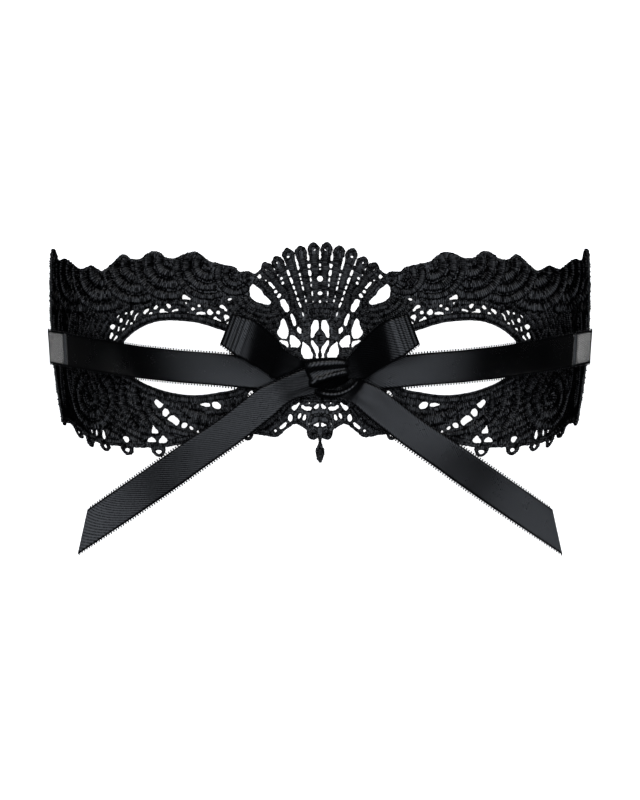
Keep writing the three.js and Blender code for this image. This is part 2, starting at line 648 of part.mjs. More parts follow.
const mask = new THREE.Group();
mask.add(piece('lace', bentLace(), THREAD));
mask.add(piece('ribbon_left', toGeometry(leftRibbon), SATIN));
mask.add(piece('ribbon_right', toGeometry(rightRibbon), SATIN));

export default mask;
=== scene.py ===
# Lace eye mask with two satin tie ribbons, lying on its outer face with the ribbons tied in a bow
# over it. Lengths are worked out in millimetres on the flat pattern of the lace, and become
# metres when they are bent into place.

import math

import bpy
import numpy as np
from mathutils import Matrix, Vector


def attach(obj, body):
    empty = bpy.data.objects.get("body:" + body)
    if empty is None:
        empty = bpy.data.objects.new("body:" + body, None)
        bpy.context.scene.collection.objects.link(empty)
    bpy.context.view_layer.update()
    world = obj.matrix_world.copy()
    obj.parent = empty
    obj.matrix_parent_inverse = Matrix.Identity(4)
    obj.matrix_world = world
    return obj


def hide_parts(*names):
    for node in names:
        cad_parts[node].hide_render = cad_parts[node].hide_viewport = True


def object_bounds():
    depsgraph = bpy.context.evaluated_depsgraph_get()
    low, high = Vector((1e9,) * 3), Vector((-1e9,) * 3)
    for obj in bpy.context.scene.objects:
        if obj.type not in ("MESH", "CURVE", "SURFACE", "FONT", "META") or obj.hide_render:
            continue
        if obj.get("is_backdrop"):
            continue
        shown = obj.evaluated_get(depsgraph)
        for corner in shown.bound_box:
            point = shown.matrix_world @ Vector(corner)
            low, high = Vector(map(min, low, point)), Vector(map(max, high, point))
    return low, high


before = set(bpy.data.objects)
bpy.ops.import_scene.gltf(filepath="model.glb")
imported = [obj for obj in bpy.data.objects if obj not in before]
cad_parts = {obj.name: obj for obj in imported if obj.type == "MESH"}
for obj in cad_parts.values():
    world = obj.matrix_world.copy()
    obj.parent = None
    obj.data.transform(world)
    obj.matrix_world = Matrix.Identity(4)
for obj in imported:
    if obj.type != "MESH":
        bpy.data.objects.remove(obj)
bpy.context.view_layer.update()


# Camera: straight above the mask on a long lens, two metres up, with the upper edge of the lace
# at the top of the picture.
CAMERA_PLACE = (0, -0.0003, 2.0)
SENSOR = 36
LENS = 290.3
NEAREST = 0.05
FARTHEST = 20
bpy.ops.object.camera_add(location=CAMERA_PLACE, rotation=(0, 0, 0))
camera = bpy.context.object
camera.data.sensor_width = SENSOR
camera.data.lens = LENS
camera.data.clip_start = NEAREST
camera.data.clip_end = FARTHEST
bpy.context.scene.camera = camera
bpy.context.scene.view_settings.view_transform = 'Standard'


# Floor: one seamless sheet of white paper, lit so well that it has no shadows. The satin doesn't
# mirror it.
FLOOR_SIZE = 6


def finish(name, constants):
    """A new material, with these values on its Principled shader."""
    material = bpy.data.materials.new(name)
    material.use_nodes = True
    for socket, value in constants.items():
        material.node_tree.nodes['Principled BSDF'].inputs[socket].default_value = value
    return material


bpy.ops.mesh.primitive_plane_add(size=FLOOR_SIZE)
floor = bpy.context.object
floor.name = 'floor'
floor.data.materials.append(finish('paper', {
    'Roughness': 0.9, 'Specular IOR Level': 0.1, 'Base Color': (0.8, 0.8, 0.8, 1),
    'Emission Color': (1, 1, 1, 1), 'Emission Strength': 1.0,
}))
floor.visible_glossy = False
floor.visible_diffuse = False
floor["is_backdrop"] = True


# Studio: soft boxes above the mask and beyond its upper edge, a low strip light at each side,
# which only the turned ends of the ribbons catch, and a dim room. Each light is given by its
# place, its turns in degrees, its length and width, its power and its colour.
WHITE = (1, 1, 1)
COOL_WHITE = (0.93, 1.0, 1.12)
LIGHTS = [
    [(0, 0, 2.676), (0, 0, 0), (7.6, 3.2), 42, COOL_WHITE],
    [(0, 0, 2.65), (0, 0, 0), (5.0, 2.1), 18, COOL_WHITE],
    [(0, 0, 2.624), (0, 0, 0), (2.4, 1.2), 9, COOL_WHITE],
    [(0, 1.7, 2.2), (-38, 0, 0), (2.4, 0.5), 14, WHITE],
    [(-1.2, 0, 0.055), (90, 0, -90), (0.5, 0.1), 4.6, WHITE],
    [(1.2, 0, 0.055), (90, 0, 90), (0.5, 0.1), 4.6, WHITE],
]
ROOM_BRIGHTNESS = 0.02
for place, turns, size, power, colour in LIGHTS:
    bpy.ops.object.light_add(type='AREA', location=place, rotation=[math.radians(t) for t in turns])
    light = bpy.context.object.data
    light.shape = 'RECTANGLE'
    light.size, light.size_y = size
    light.energy = power
    light.color = colour
room = bpy.data.worlds.new('room')
room.use_nodes = True
room.node_tree.nodes['Background'].inputs['Color'].default_value = (*WHITE, 1)
room.node_tree.nodes['Background'].inputs['Strength'].default_value = ROOM_BRIGHTNESS
bpy.context.scene.world = room


# Lace: black cotton embroidery, sewn flat and then curved to a face. This is the curve of a
# wing: a flat middle, a slow bend over the brow and a quick one at the temple.
MM = 0.001
FLAT = 14
BROW_RADIUS = 96.2
BROW_TURN = math.radians(35)
TEMPLE_RADIUS = 32
TEMPLE_TURN = math.radians(82.7)
BROW_END = FLAT + BROW_RADIUS * BROW_TURN
HALF_LENGTH = BROW_END + TEMPLE_RADIUS * (TEMPLE_TURN - BROW_TURN)
FULL_HEIGHT = 33
LEAN = 2.84e-5


def lean(v):
    """The share of its reach to the side that the lace keeps at this height."""
    return 1 - LEAN * (v - FULL_HEIGHT) ** 2


def bent(points):
    """Places in metres of points (s, v, rise) of the flat pattern."""
    s, v, rise = np.asarray(points, float).T
    at = np.abs(s)
    brow = np.clip((at - FLAT) / BROW_RADIUS, 0, BROW_TURN)
    turn = np.clip(at - BROW_END, 0, None) / TEMPLE_RADIUS + brow
    x = np.minimum(at, FLAT) + BROW_RADIUS * np.sin(brow)
    x += TEMPLE_RADIUS * (np.sin(turn) - np.sin(brow))
    z = BROW_RADIUS * (1 - np.cos(brow)) + TEMPLE_RADIUS * (np.cos(brow) - np.cos(turn))
    x = np.sign(s) * (x - rise * np.sin(turn)) * lean(v)
    return np.column_stack((x, v, z + rise * np.cos(turn))) * MM


def curve(knots, counts):
    """Points of a smooth curve from the second knot on, with a number of steps to each knot."""
    line = []
    for a, b, c, d, count in zip(knots, knots[1:], knots[2:], knots[3:], counts):
        for t in np.arange(count) / count:
            line.append(b + 0.5 * t * (c - a + t * (2 * a - 5 * b + 4 * c - d
                                                    + t * (3 * (b - c) + d - a))))
    return line


def with_ends(points):
    knots = np.asarray(points, float)
    return np.vstack((2 * knots[0] - knots[1], knots, 2 * knots[-1] - knots[-2]))


def flowing(points, step, closed=False):
    """A smooth line through points, in steps of about this length."""
    if closed:
        knots = np.asarray(points, float)
        knots = np.vstack((knots[-1], knots, knots[0], knots[1]))
    else:
        knots = with_ends(points)
    counts = [max(int(round(np.linalg.norm(c - b) / step)), 1)
              for b, c in zip(knots[1:], knots[2:-1])]
    return np.array(curve(knots, counts) + ([] if closed else [knots[-2]]))


def arc(s, v, radius, start, end, step=0.5):
    """Points of an arc about a centre, from one angle to another, in degrees."""
    count = max(int(abs(math.radians(end - start)) * radius / step), 4)
    angles = np.radians(np.linspace(start, end, count + 1))
    return np.column_stack((s + radius * np.cos(angles), v + radius * np.sin(angles)))


# The fan in the middle has ten fingers that spread from one pivot. A fingertip is given by half
# its width at distances from its end: a neck, a broad head and a point.
FAN_PIVOT = 9.5
FINGER_PITCH = 6.3
FINGER_LENGTHS = [39.2, 38.6, 38.7, 37.4, 37.2]
FAN_NOTCHES = [33.2, 33.3, 31.0, 33.3, 33.3]
FAN_SPAN = 38
FAN_CLOSING = 0.004
FINGERTIP = [
    [-5.0, 1.4], [-4.0, 1.5], [-3.1, 1.72], [-2.2, 1.88], [-1.4, 1.7], [-0.7, 1.15], [-0.15, 0.55],
]
NOTCH_ROOM = 0.5
NOTCH_FLOOR = [[0.2, -0.35], [0, 0], [0.2, 0.35]]
LAST_NOTCH = 2.2


def on_fan(angle, radius, aside=0):
    turn = math.radians(angle * (1 - FAN_CLOSING * max(FAN_SPAN - radius, 0)))
    return [radius * math.sin(turn) + aside * math.cos(turn),
            FAN_PIVOT + radius * math.cos(turn) - aside * math.sin(turn)]


def fingertips():
    """The edge of one half of the fan, from the notch in the middle to the last finger."""
    line = []
    for finger, length in enumerate(FINGER_LENGTHS):
        angle = FINGER_PITCH * (finger + 0.5)
        last = finger == len(FINGER_LENGTHS) - 1
        notch = length - LAST_NOTCH if last else FAN_NOTCHES[finger + 1]
        line += [on_fan(angle, length + r, -half) for r, half in FINGERTIP
                 if length + r > FAN_NOTCHES[finger] + NOTCH_ROOM]
        line.append(on_fan(angle, length))
        line += [on_fan(angle, length + r, half) for r, half in FINGERTIP[::-1]
                 if length + r > notch + NOTCH_ROOM]
        if not last:
            line += [on_fan(angle + FINGER_PITCH / 2, notch + r, aside) for r, aside in NOTCH_FLOOR]
    return line


# The rest of the edge: the scallops and the horn above, the straight end, and the lower edge. On
# it stand small loops, each given by its place, half its width, its depth and the length and
# width of its hole, and in the middle a lobe and a drop.
UPPER_EDGE = [
    [19.6, 39.2], [20.4, 38.7], [22.3, 39.5], [25, 39.4], [26.6, 40.8], [30.2, 41.7], [34.6, 42.7],
    [37.0, 44.5], [39.3, 45.6], [42.2, 45.0], [45.6, 43.6], [48.9, 43.7], [50.6, 45.0], [52.9, 45.7],
    [55.3, 44.6], [57.4, 43.2], [60.4, 43.1], [63.2, 44.6], [66.0, 42.6], [69.8, 39.6], [71.4, 39.5],
    [74.8, 40.9], [77.0, 40.2], [78.9, 39.8], [80.2, 40.0], [83.7, 41.7], [87.2, 42.8], [90.1, 42.2],
    [91.8, 42.4], [93.3, 43.4], [94.6, 44.9], [95.6, 45.5], [97.6, 45.6],
]
END_EDGE = (43.2, 36, 26, 15, 4)
LOWER_CORNER = -6.8
LOWER_EDGE = [
    [91.5, -7.4], [89.6, -7.9], [83.4, -11], [79.4, -12.8], [72.6, -14.1], [63.6, -14.8],
    [57, -14.9], [50.7, -14.6], [42.2, -13.2], [34.6, -11.5], [27.8, -10.8], [21, -10.9],
    [15.2, -11.8], [13.4, -11.2], [10.9, -9.3], [8.3, -7.7], [6.3, -8.2], [4.4, -9.4],
]
PICOTS = [
    [97.2, 1.1, 1.0, 1.2, 0.7], [86.4, 2.1, 2.2, 1.4, 1.1], [81.2, 1.6, 2.5, 1.2, 1.1],
    [74.8, 1.9, 2.2, 1.5, 1.4], [66.4, 2.3, 2.6, 2.2, 1.4], [54.9, 2.5, 3.0, 2.7, 1.4],
    [42.4, 2.2, 2.5, 2.2, 1.3], [32.4, 2.0, 2.2, 1.8, 1.1], [23.7, 1.7, 2.0, 1.5, 0.8],
]
PICOT_RIM = 1.5
LOBE = [2.4, -10.9, 1.7]
LOBE_ARC = [-10, -150]
DROP = [
    [0.39, -12.7], [0.39, -13.4], [0.55, -13.9], [0.85, -14.4], [1.0, -15.0], [1.38, -15.7],
    [1.45, -16.5], [1.3, -17.6], [1.05, -18.4], [0.6, -19.2],
]
DROP_TIP = -19.8

lower_line = flowing([[HALF_LENGTH, LOWER_CORNER]] + LOWER_EDGE, 0.5)[::-1]


def lower_edge(s):
    return np.interp(s, lower_line[:, 0], lower_line[:, 1])


def lower_outline():
    """From the end to the lobe, with the small loops that stand out of the edge."""
    line = lower_line[::-1]
    for s, half_width, depth, _, _ in PICOTS:
        across, down = arc(0, 0, 1, 0, -180, 0.2).T
        at = np.minimum(s + across * half_width, HALF_LENGTH)
        loop = np.column_stack((at, lower_edge(at) + down * depth))
        before = line[line[:, 0] > s + half_width]
        after = line[line[:, 0] < s - half_width]
        line = np.vstack((before, loop, after))
    return line


half_outline = np.vstack((
    fingertips(), flowing(UPPER_EDGE, 0.5), [[HALF_LENGTH, v] for v in END_EDGE],
    lower_outline(), arc(*LOBE, *LOBE_ARC), flowing(DROP, 0.4), [[0.3, DROP_TIP + 0.1]],
))
outline = np.vstack((
    half_outline, [[0, DROP_TIP]], (half_outline * [-1, 1])[::-1], [on_fan(0, FAN_NOTCHES[0])],
))

# Openwork. A larger hole is one row of the places s, v of its outline, in pairs. A small hole is
# s, v, length, width, turn of the length from the s axis, and how far it is drawn to a point,
# from -1 to 1.
EYE_RIM = [
    [66.0, 11.6], [63.7, 17.2], [60.8, 19.9], [56.6, 22.4], [51.2, 24.1], [44.6, 24.3],
    [38.1, 23.6], [33.0, 22.1], [27.0, 19.9], [22.0, 15.0], [21.2, 8.0], [25.9, 3.5],
    [32.4, 2.0], [40.2, 1.1], [48.1, 1.9], [54.9, 3.8], [60.2, 6.3], [64.4, 8.8],
]
OPENINGS = [
    [68.55, 18.9, 68.1, 19.85, 67.35, 20.7, 66.65, 20, 67, 19.25, 67.65, 18.45, 68.3, 18.4],
    [67.2, 18.25, 66.35, 19.1, 65.85, 19.7, 64.9, 19.3, 65.5, 18.8, 66.7, 17.85],
    [68, 22, 67.8, 22.75, 66.85, 23.1, 65.9, 22.6, 66.15, 21.8, 66.85, 21.25, 67.65, 21.4],
    [65.55, 20.6, 65.25, 21.7, 64.85, 22.5, 64.35, 22.3, 64.45, 21.4, 65.05, 20.45],
    [64.05, 21.4, 63.4, 21.85, 62.5, 21.9, 62.35, 21.55, 63.35, 20.65, 63.8, 20.85],
    [65.55, 24.95, 65.2, 25.55, 64.45, 26.15, 64.15, 25.85, 64.7, 25.25, 65.2, 24.65],
    [64.65, 24.3, 64.35, 24.9, 63.7, 25, 63.25, 24.35, 63.4, 23.7, 64.05, 23.4, 64.55, 23.65],
    [62.6, 26.5, 62.25, 26.8, 61.55, 26.65, 61.65, 26.2, 62.2, 25.9, 62.55, 26.1],
    [62.45, 22.95, 62.25, 23.7, 61.6, 24.5, 61.1, 24.4, 61.4, 23.75, 61.95, 22.65],
    [61.05, 23.25, 60.7, 23.75, 59.65, 23.65, 59.65, 23.05, 60.3, 22.8, 60.9, 22.85],
    [60.8, 26.05, 60.7, 26.8, 59.9, 27.35, 59.25, 27.3, 59.75, 26.75, 60.15, 25.75, 60.5, 25.65],
    [59.55, 24.2, 59.35, 25.3, 58.75, 26.2, 57.85, 26.55, 57.6, 26.2, 58.4, 25.6, 58.8, 24.65,
     59.05, 24.05],
    [56.3, 26.75, 55.65, 27.45, 54.6, 28.05, 53.95, 27.7, 54.3, 27.15, 55.5, 26.15, 56.25, 26.2],
    [54.4, 26.3, 53.9, 26.85, 53.05, 26.8, 53.05, 26.4, 53.8, 26, 54.25, 26],
    [52.95, 28.15, 52.25, 28.85, 51.35, 28.95, 51.1, 28.4, 51.65, 27.65, 52.2, 27.5, 52.75, 27.7],
    [50.95, 26.7, 50.55, 27.65, 49.1, 27.85, 48.9, 27.25, 47.8, 26.9, 47.55, 26.6, 48.8, 26.7,
     49.8, 26.6],
    [48.6, 29.35, 47.45, 29.45, 46.8, 28.75, 47.15, 28.05, 47.7, 27.95, 48.45, 28.6],
    [46.95, 27.1, 46, 27.75, 44.45, 27.85, 44.4, 27.35, 45.7, 27.05, 46.6, 26.75],
    [43.35, 30.95, 43.25, 32, 42.5, 32.45, 41.65, 31.9, 40.45, 30.95, 40.55, 30.65, 42.15, 30.85],
    [42.35, 29.9, 42.15, 30.15, 41.5, 29.65, 41.75, 29.25, 42.35, 29.15],
    [41.75, 26.8, 41.4, 27.2, 41.15, 26.9, 41.45, 26.45],
    [40.5, 28.1, 40.05, 28.45, 39.45, 28.35, 39, 27.8, 39.8, 27.3, 40.45, 27.6],
    [38.55, 28.9, 37.75, 29.4, 37.2, 28.95, 37.35, 28.5, 38.3, 28.5],
    [38.95, 26.25, 38.3, 26.9, 36.8, 27.05, 36.1, 26.8, 35.7, 26.35, 35.95, 26.05, 37.8, 26.15,
     38.65, 26],
    [35.4, 27.3, 35, 27.8, 34.35, 27.85, 33.25, 26.8, 33.7, 26.15, 34.55, 25.95, 35.2, 26.35],
    [32.65, 26.8, 32.25, 27.3, 31.25, 27.35, 31.2, 26.35, 31.45, 26.05, 32.45, 26.5],
    [31.5, 28.7, 31, 29.1, 30.15, 29.15, 29.45, 28.45, 28.75, 27.3, 28.95, 26.95, 29.6, 27.25,
     30.1, 27.8, 31.25, 28.3],
    [28.85, 30.75, 28.25, 31.25, 27.35, 31.05, 27.65, 30.6, 28.5, 30.35],
    [33.45, 25.05, 32.7, 25.75, 32.1, 25.1, 31.1, 24.45, 30.7, 23.9, 31.05, 23.55, 31.8, 24.2,
     33.3, 24.8],
    [30.1, 25.7, 29.6, 26.2, 28.95, 26.2, 28.2, 25.3, 29.15, 24.55, 29.5, 24.05, 29.9, 24.65],
    [29.5, 23.25, 28.8, 23.9, 28.05, 24.25, 27.7, 24.9, 28.5, 22.9, 29.35, 23],
    [54.4, -0.75, 53.7, -0.1, 52.95, -0.3, 51.9, -1.15, 51.05, -1.55, 51.9, -2.4, 52.9, -2.9,
     53.75, -2.15, 54.3, -1.3],
    [51.9, -3.8, 51.05, -2.85, 50.1, -3.1, 49.3, -4.25, 49.85, -4.95, 51.05, -5.5, 51.9, -4.95],
    [50.4, -6.05, 49.4, -5.1, 48.15, -4.95, 47.15, -5.65, 46.2, -6.65, 46.4, -7.6, 47.45, -8.3,
     48.45, -7.6, 49.9, -6.75],
    [45.75, -7.9, 44.8, -7.2, 43.65, -7.75, 43.7, -8.45, 44.55, -8.95, 45.7, -8.8],
    [43.35, -8.75, 42.65, -8.4, 41.65, -9.1, 42, -9.6, 42.9, -9.4],
    [40.85, -10.45, 40.35, -9.6, 39.75, -10.05, 40.4, -10.55],
    [55.55, -7.75, 55.1, -8.6, 53.95, -10.15, 54.6, -10.6, 56.55, -10.6, 56.7, -10.1, 56.15, -9],
    [58.6, -12.8, 57.55, -11.95, 56.55, -11.7, 55.55, -12.5, 55.25, -13.2, 58.65, -13.3],
    [54.65, -12.95, 53.5, -11.8, 52.55, -11.15, 51.7, -11.8, 51.1, -12.65, 51.8, -13.5, 54.4, -13.5],
    [1.54, 24.49, 0.56, 24.36, 0.38, 22.94, 0.38, 21.65, 1.15, 20.74, 1.54, 20.23, 2.19, 18.94,
     2.83, 18.94, 2.96, 19.84, 2.83, 21.13, 2.83, 22.17, 2.39, 23.46],
    [2.83, 18.16, 2.32, 18.34, 1.67, 17.39, 0.64, 16.17, 0.35, 15.45, 0.35, 14.54, 0.56, 13.9,
     0.56, 13.33, 0.35, 12.6, 0.4, 11.7, 1.15, 11.7, 1.33, 12.86, 1.15, 13.64, 1.54, 14.67,
     1.98, 15.45, 2.39, 16.35, 2.78, 17.39],
    [5.42, 17.77, 4.77, 17.39, 3.74, 16.61, 2.96, 15.71, 2.57, 14.67, 2.24, 13.9, 2.37, 12.6,
     3.74, 12.48, 5.03, 12.48, 5.55, 13.51, 5.93, 14.41, 6.01, 15.45, 5.67, 16.2],
    [9.29, 19.84, 8.13, 19.71, 6.84, 18.55, 6.05, 17.6, 6.32, 16.48, 7.1, 15.84, 8.13, 15.97,
     9.24, 15.97, 9.11, 16.74, 9.5, 17.26, 9.39, 18.55],
    [12.73, 18.16, 10.45, 18.03, 9.92, 17.26, 9.78, 16.1, 10.14, 15.97, 11.49, 17],
    [11.49, 25.14, 10.84, 24.36, 10.32, 22.94, 9.81, 21.65, 9.73, 20.61, 10.07, 19.32, 10.58, 18.6,
     12, 18.81, 13.04, 19.71, 13.29, 20.74, 12.91, 21.78, 12.39, 22.94, 12.13, 23.97],
    [8.96, 26.61, 8.52, 26.43, 8.13, 25.52, 7.61, 24.62, 7.3, 23.59, 7.56, 22.68, 8.26, 22.63,
     8.65, 23.97, 9.16, 25.14, 9.21, 26.04],
    [6.84, 22.42, 6.32, 22.17, 5.73, 21.52, 5.8, 20.36, 6.32, 20.15, 6.97, 20.74, 7.22, 21.65],
    [12.2, 30.7, 11.7, 31, 10.97, 30.9, 10.4, 30, 9.68, 28.9, 9.42, 27.85, 9.88, 26.94, 10.71, 27.07,
     11.36, 27.85, 12, 28.88, 12.39, 30.04],
    [20.96, 35.74, 21.73, 34.6, 21.89, 33.17, 21.58, 31.62, 20, 30.19, 17.83, 29.64, 16.4, 29.2,
     15.16, 29.73, 15.62, 30.85, 17.17, 32.24, 18.45, 33.98, 20, 35.22],
    [16.14, 36.12, 15.36, 36.24, 14.59, 35.34, 13.8, 34.45, 14.33, 34.15, 14.97, 34.69, 15.75, 35.34],
    [17.17, 37.02, 16.47, 36.86, 16.62, 36.5, 17.09, 36.5],
    [14.07, 33.79, 13.5, 33.95, 13.04, 33.27, 13.42, 32.95, 14.07, 32.75, 14.33, 33.27],
    [13, 32.4, 12.39, 32.75, 11.93, 32.24, 12.26, 31.5, 12.91, 31.3, 13.5, 31.7],
    [19.5, 38.83, 18.85, 38.83, 18.3, 38.18, 18.46, 37.41, 19.24, 37.41, 19.7, 38.18],
    [6.4, -1.06, 6.79, -1.96, 7.3, -2.74, 8.08, -3.64, 8.8, -3.38, 9.06, -2.48, 8.34, -1.96,
     7.3, -1.45, 6.66, -0.93],
    [6.01, -1.96, 5.24, -1.83, 4.46, -2.35, 3.04, -2.25, 2.65, -2.87, 3.17, -3.64, 4.46, -3.64,
     5.49, -3.13, 6.01, -2.61],
    [3.81, -1.06, 3.3, -0.93, 3.17, -1.6, 3.74, -1.7],
    [2, -2.48, 1.1, -1.7, 0.38, -1.32, 0.38, -2.22, 0.71, -2.87, 1.49, -3.13, 1.95, -2.9],
    [10.27, -5.32, 9.63, -4.6, 8.98, -5.06, 8.8, -5.84, 8.98, -6.74, 9.76, -7, 10.35, -6.35],
    [6.91, -4.55, 6.14, -4.29, 6.01, -4.93, 6.4, -5.84, 7.04, -6.22, 7.22, -5.58],
    [5.24, -4.8, 4.72, -4.67, 4.46, -5.32, 4.67, -6.48, 5.24, -6.82, 5.65, -6.48, 5.55, -5.84],
    [13.19, -8.81, 12.47, -8.03, 11.44, -7.26, 10.8, -7.13, 10.75, -7.65, 11.31, -8.55, 12.47, -9.4,
     13.11, -9.35],
    [15.05, -9.84, 14.54, -9.33, 14.02, -9.71, 14.1, -10.1, 14.66, -10.4],
    [2.26, -8.03, 0.84, -7.26, 0.38, -7.1, 0.38, -8.55, 0.84, -8.68, 1.88, -8.29],
]
HOLES = [
    [37.1, -1.8, 3.6, 1.2, 4, 0.4], [33.5, -2.0, 3.3, 2.2, 22, 0], [22.1, 1.6, 2.7, 1.6, 140, 0],
    [66.3, -12.3, 2.6, 2.0, 32, 0.3], [74.6, -10.9, 3.0, 1.6, 90, 0.2], [77.5, -10.3, 2.2, 1.2, 103, 0],
    [79.5, -9.9, 1.4, 1.0, 58, 0], [13.1, 38.4, 0.6, 0.5, 30, 0], [11.95, 37.4, 1.1, 0.9, 120, 0],
    [11.5, 35.95, 1.1, 0.9, 100, 0],
    [3.6, -7.75, 0.4, 0.4, 0, 0],
    [2.52, 47.25, 0.7, 0.6, 60, 0], [1.65, 46.2, 0.9, 0.45, 140, 0], [6.45, 45.8, 0.45, 0.45, 0, 0],
    [9.9, 44.1, 1.0, 0.85, 0, 0], [13.4, 42.2, 0.75, 0.6, 0, 0], [17.1, 39.85, 1.05, 0.9, 0, 0],
]
MIDDLE_HOLES = [
    [0, 37.3, 1.9, 1.8, 0, 0], [0, 32.8, 1.5, 1.2, 0, 0], [0, 40.3, 0.6, 0.5, 90, 0],
    [0, 41.6, 1.2, 0.6, 90, 0], [0, 30.2, 0.8, 0.9, 0, 0],
]
# Between the fingers, gaps that thin cross threads part: how far out along its ray each one is,
# its length and its width.
FAN_GAPS = [
    [[20.8, 0.6, 0.5], [23.3, 1.6, 0.6], [25.9, 1.1, 0.6], [27.6, 1.3, 0.7], [29.7, 2.1, 0.95],
     [32.1, 1.9, 1.05]],
    [[21.3, 1.0, 0.7], [22.8, 0.8, 0.6], [25.3, 1.4, 0.7], [27.0, 1.4, 0.65], [28.4, 0.7, 0.6],
     [29.8, 1.3, 0.75]],
    [[17.5, 1.5, 0.6], [20.6, 2.0, 0.7], [22.5, 1.2, 0.7], [24.6, 1.4, 0.75], [26.4, 1.5, 0.65],
     [28.6, 2.2, 0.85], [31.2, 2.2, 0.95]],
]
GAP_SHAPE = [[-1, 0.65], [0, 0.95], [1, 0.75], [1, -0.75], [0, -0.95], [-1, -0.65]]
RAGGED = 0.05
random = np.random.default_rng(11)


def pairs(row):
    return np.reshape(row, (-1, 2))


def hole(s, v, length, width, turn, point=0.0):
    count = max(int(length * 5), 12)
    t = np.arange(count) * 2 * math.pi / count
    x = np.cos(t) * length / 2
    y = np.sin(t) * width / 2 * (1 - point * np.cos(t))
    c, n = math.cos(math.radians(turn)), math.sin(math.radians(turn))
    return np.column_stack((s + x * c - y * n, v + x * n + y * c))


def fan_gap(gap, radius, length, width):
    """A square gap between two fingers, a little wider in the middle."""
    return np.array([on_fan(FINGER_PITCH * gap, radius + out * length / 2, side * width / 2)
                        for out, side in GAP_SHAPE])


def half_holes():
    """Every hole of one half of the lace, a little ragged, as thread leaves them."""
    made = [flowing(pairs(row), 0.45, closed=True) for row in OPENINGS]
    made += [hole(*row) for row in HOLES]
    made += [hole(s, lower_edge(s) - depth + PICOT_RIM, length, width, 0)
             for s, _, depth, length, width in PICOTS]
    made += [fan_gap(gap + 1, *row) for gap, rows in enumerate(FAN_GAPS) for row in rows]
    return [line + random.normal(0, RAGGED, line.shape) for line in made]


eye_line = flowing(EYE_RIM, 0.6, closed=True)
right_holes = half_holes()
middle_holes = [hole(*row) for row in MIDDLE_HOLES]

# Ground of the lace: thin close stitching in black cotton inside the outline, with every hole in
# it. It is drawn flat, filled, given its thickness, cut across in a fine grid and then bent.
# Each set of cuts has its direction, its first and last place and its step.
GROUND_THICKNESS = 0.5
MID_RISE = 0.66
THREAD = 0.66
SAME_PLACE = 0.002
CUTS = [[(1, 0, 0), -99, 99.1, 2.2], [(0, 1, 0), -17.6, 46, 4.4]]


def pick(piece):
    """Selects this piece alone, so that Blender's tools work on it."""
    bpy.ops.object.select_all(action='DESELECT')
    piece.select_set(True)
    bpy.context.view_layer.objects.active = piece


def turn_outwards():
    bpy.ops.mesh.select_all(action='SELECT')
    bpy.ops.mesh.normals_make_consistent(inside=False)
    bpy.ops.object.mode_set(mode='OBJECT')


def flat_cloth(name, lines):
    drawing = bpy.data.curves.new(name, 'CURVE')
    drawing.dimensions = '2D'
    drawing.fill_mode = 'BOTH'
    drawing.extrude = GROUND_THICKNESS / 2
    for line in lines:
        spline = drawing.splines.new('POLY')
        spline.points.add(len(line) - 1)
        spline.points.foreach_set('co', np.column_stack((
            line, np.zeros(len(line)), np.ones(len(line)))).ravel())
        spline.use_cyclic_u = True
    cloth = bpy.data.objects.new(name, drawing)
    bpy.context.scene.collection.objects.link(cloth)
    pick(cloth)
    bpy.ops.object.convert(target='MESH')
    return cloth


ground = flat_cloth('lace_ground', [
    outline, eye_line, eye_line * [-1, 1], *right_holes, *[h * [-1, 1] for h in right_holes],
    *middle_holes,
])
bpy.ops.object.mode_set(mode='EDIT')
bpy.ops.mesh.select_all(action='SELECT')
bpy.ops.mesh.remove_doubles(threshold=SAME_PLACE)
for across, first, end, step in CUTS:
    for cut in np.arange(first, end, step):
        bpy.ops.mesh.select_all(action='SELECT')
        bpy.ops.mesh.bisect(plane_co=[cut * axis for axis in across], plane_no=across)
turn_outwards()


def vertices_of(piece):
    co = np.empty(len(piece.data.vertices) * 3)
    piece.data.vertices.foreach_get('co', co)
    return co.reshape(-1, 3)


def map_threads(piece, points):
    """A UV map that counts threads along the stitches' band and gives millimetres across it."""
    corners = np.empty(len(piece.data.loops), int)
    piece.data.loops.foreach_get('vertex_index', corners)
    layer = piece.data.uv_layers.new(name='thread')
    layer.data.foreach_set('uv', np.asarray(points)[corners].astype(np.float32).ravel())


flat = vertices_of(ground)
map_threads(ground, flat[:, :2] / [THREAD, 1])
ground.data.vertices.foreach_set('co', bent(flat + [0, 0, MID_RISE]).ravel())
ground.data.update()


# Its thread, as all the thread of the lace: black cotton with a dull shine, rough with fibres,
# with painted shade in the furrows and on faces that stand steeply to the camera.
class Wire:
    """A value, colour or vector in a material; arithmetic on it adds nodes."""

    def __init__(self, tree, socket=None):
        self.tree = tree
        self.socket = socket

    def node(self, kind, settings, inputs, output=0):
        made = self.tree.nodes.new(kind)
        for name, value in settings.items():
            setattr(made, name, value)
        for name, value in inputs.items():
            if isinstance(value, Wire):
                self.tree.links.new(value.socket, made.inputs[name])
            else:
                made.inputs[name].default_value = value
        return Wire(self.tree, made.outputs[output])

    def math(self, operation, *others):
        values = dict(enumerate((self, *others)))
        return self.node('ShaderNodeMath', {'operation': operation}, values)

    def __add__(self, other):
        return self.math('ADD', other)

    def __sub__(self, other):
        return self.math('SUBTRACT', other)

    def __rsub__(self, other):
        return self.math('MULTIPLY', -1).math('ADD', other)

    def __mul__(self, other):
        return self.math('MULTIPLY', other)

    __radd__ = __add__
    __rmul__ = __mul__

    def within(self, low, high):
        return self.math('MAXIMUM', low).math('MINIMUM', high)

    def noise(self, scale, detail):
        """Soft noise at this place."""
        return self.node('ShaderNodeTexNoise', {}, {
            'Vector': self, 'Scale': scale, 'Detail': detail})

    def tint(self, dark, light):
        """Colour between two others, by this value."""
        mix = {'data_type': 'RGBA'}
        return self.node('ShaderNodeMix', mix, {0: self, 6: (*dark, 1), 7: (*light, 1)}, 2)


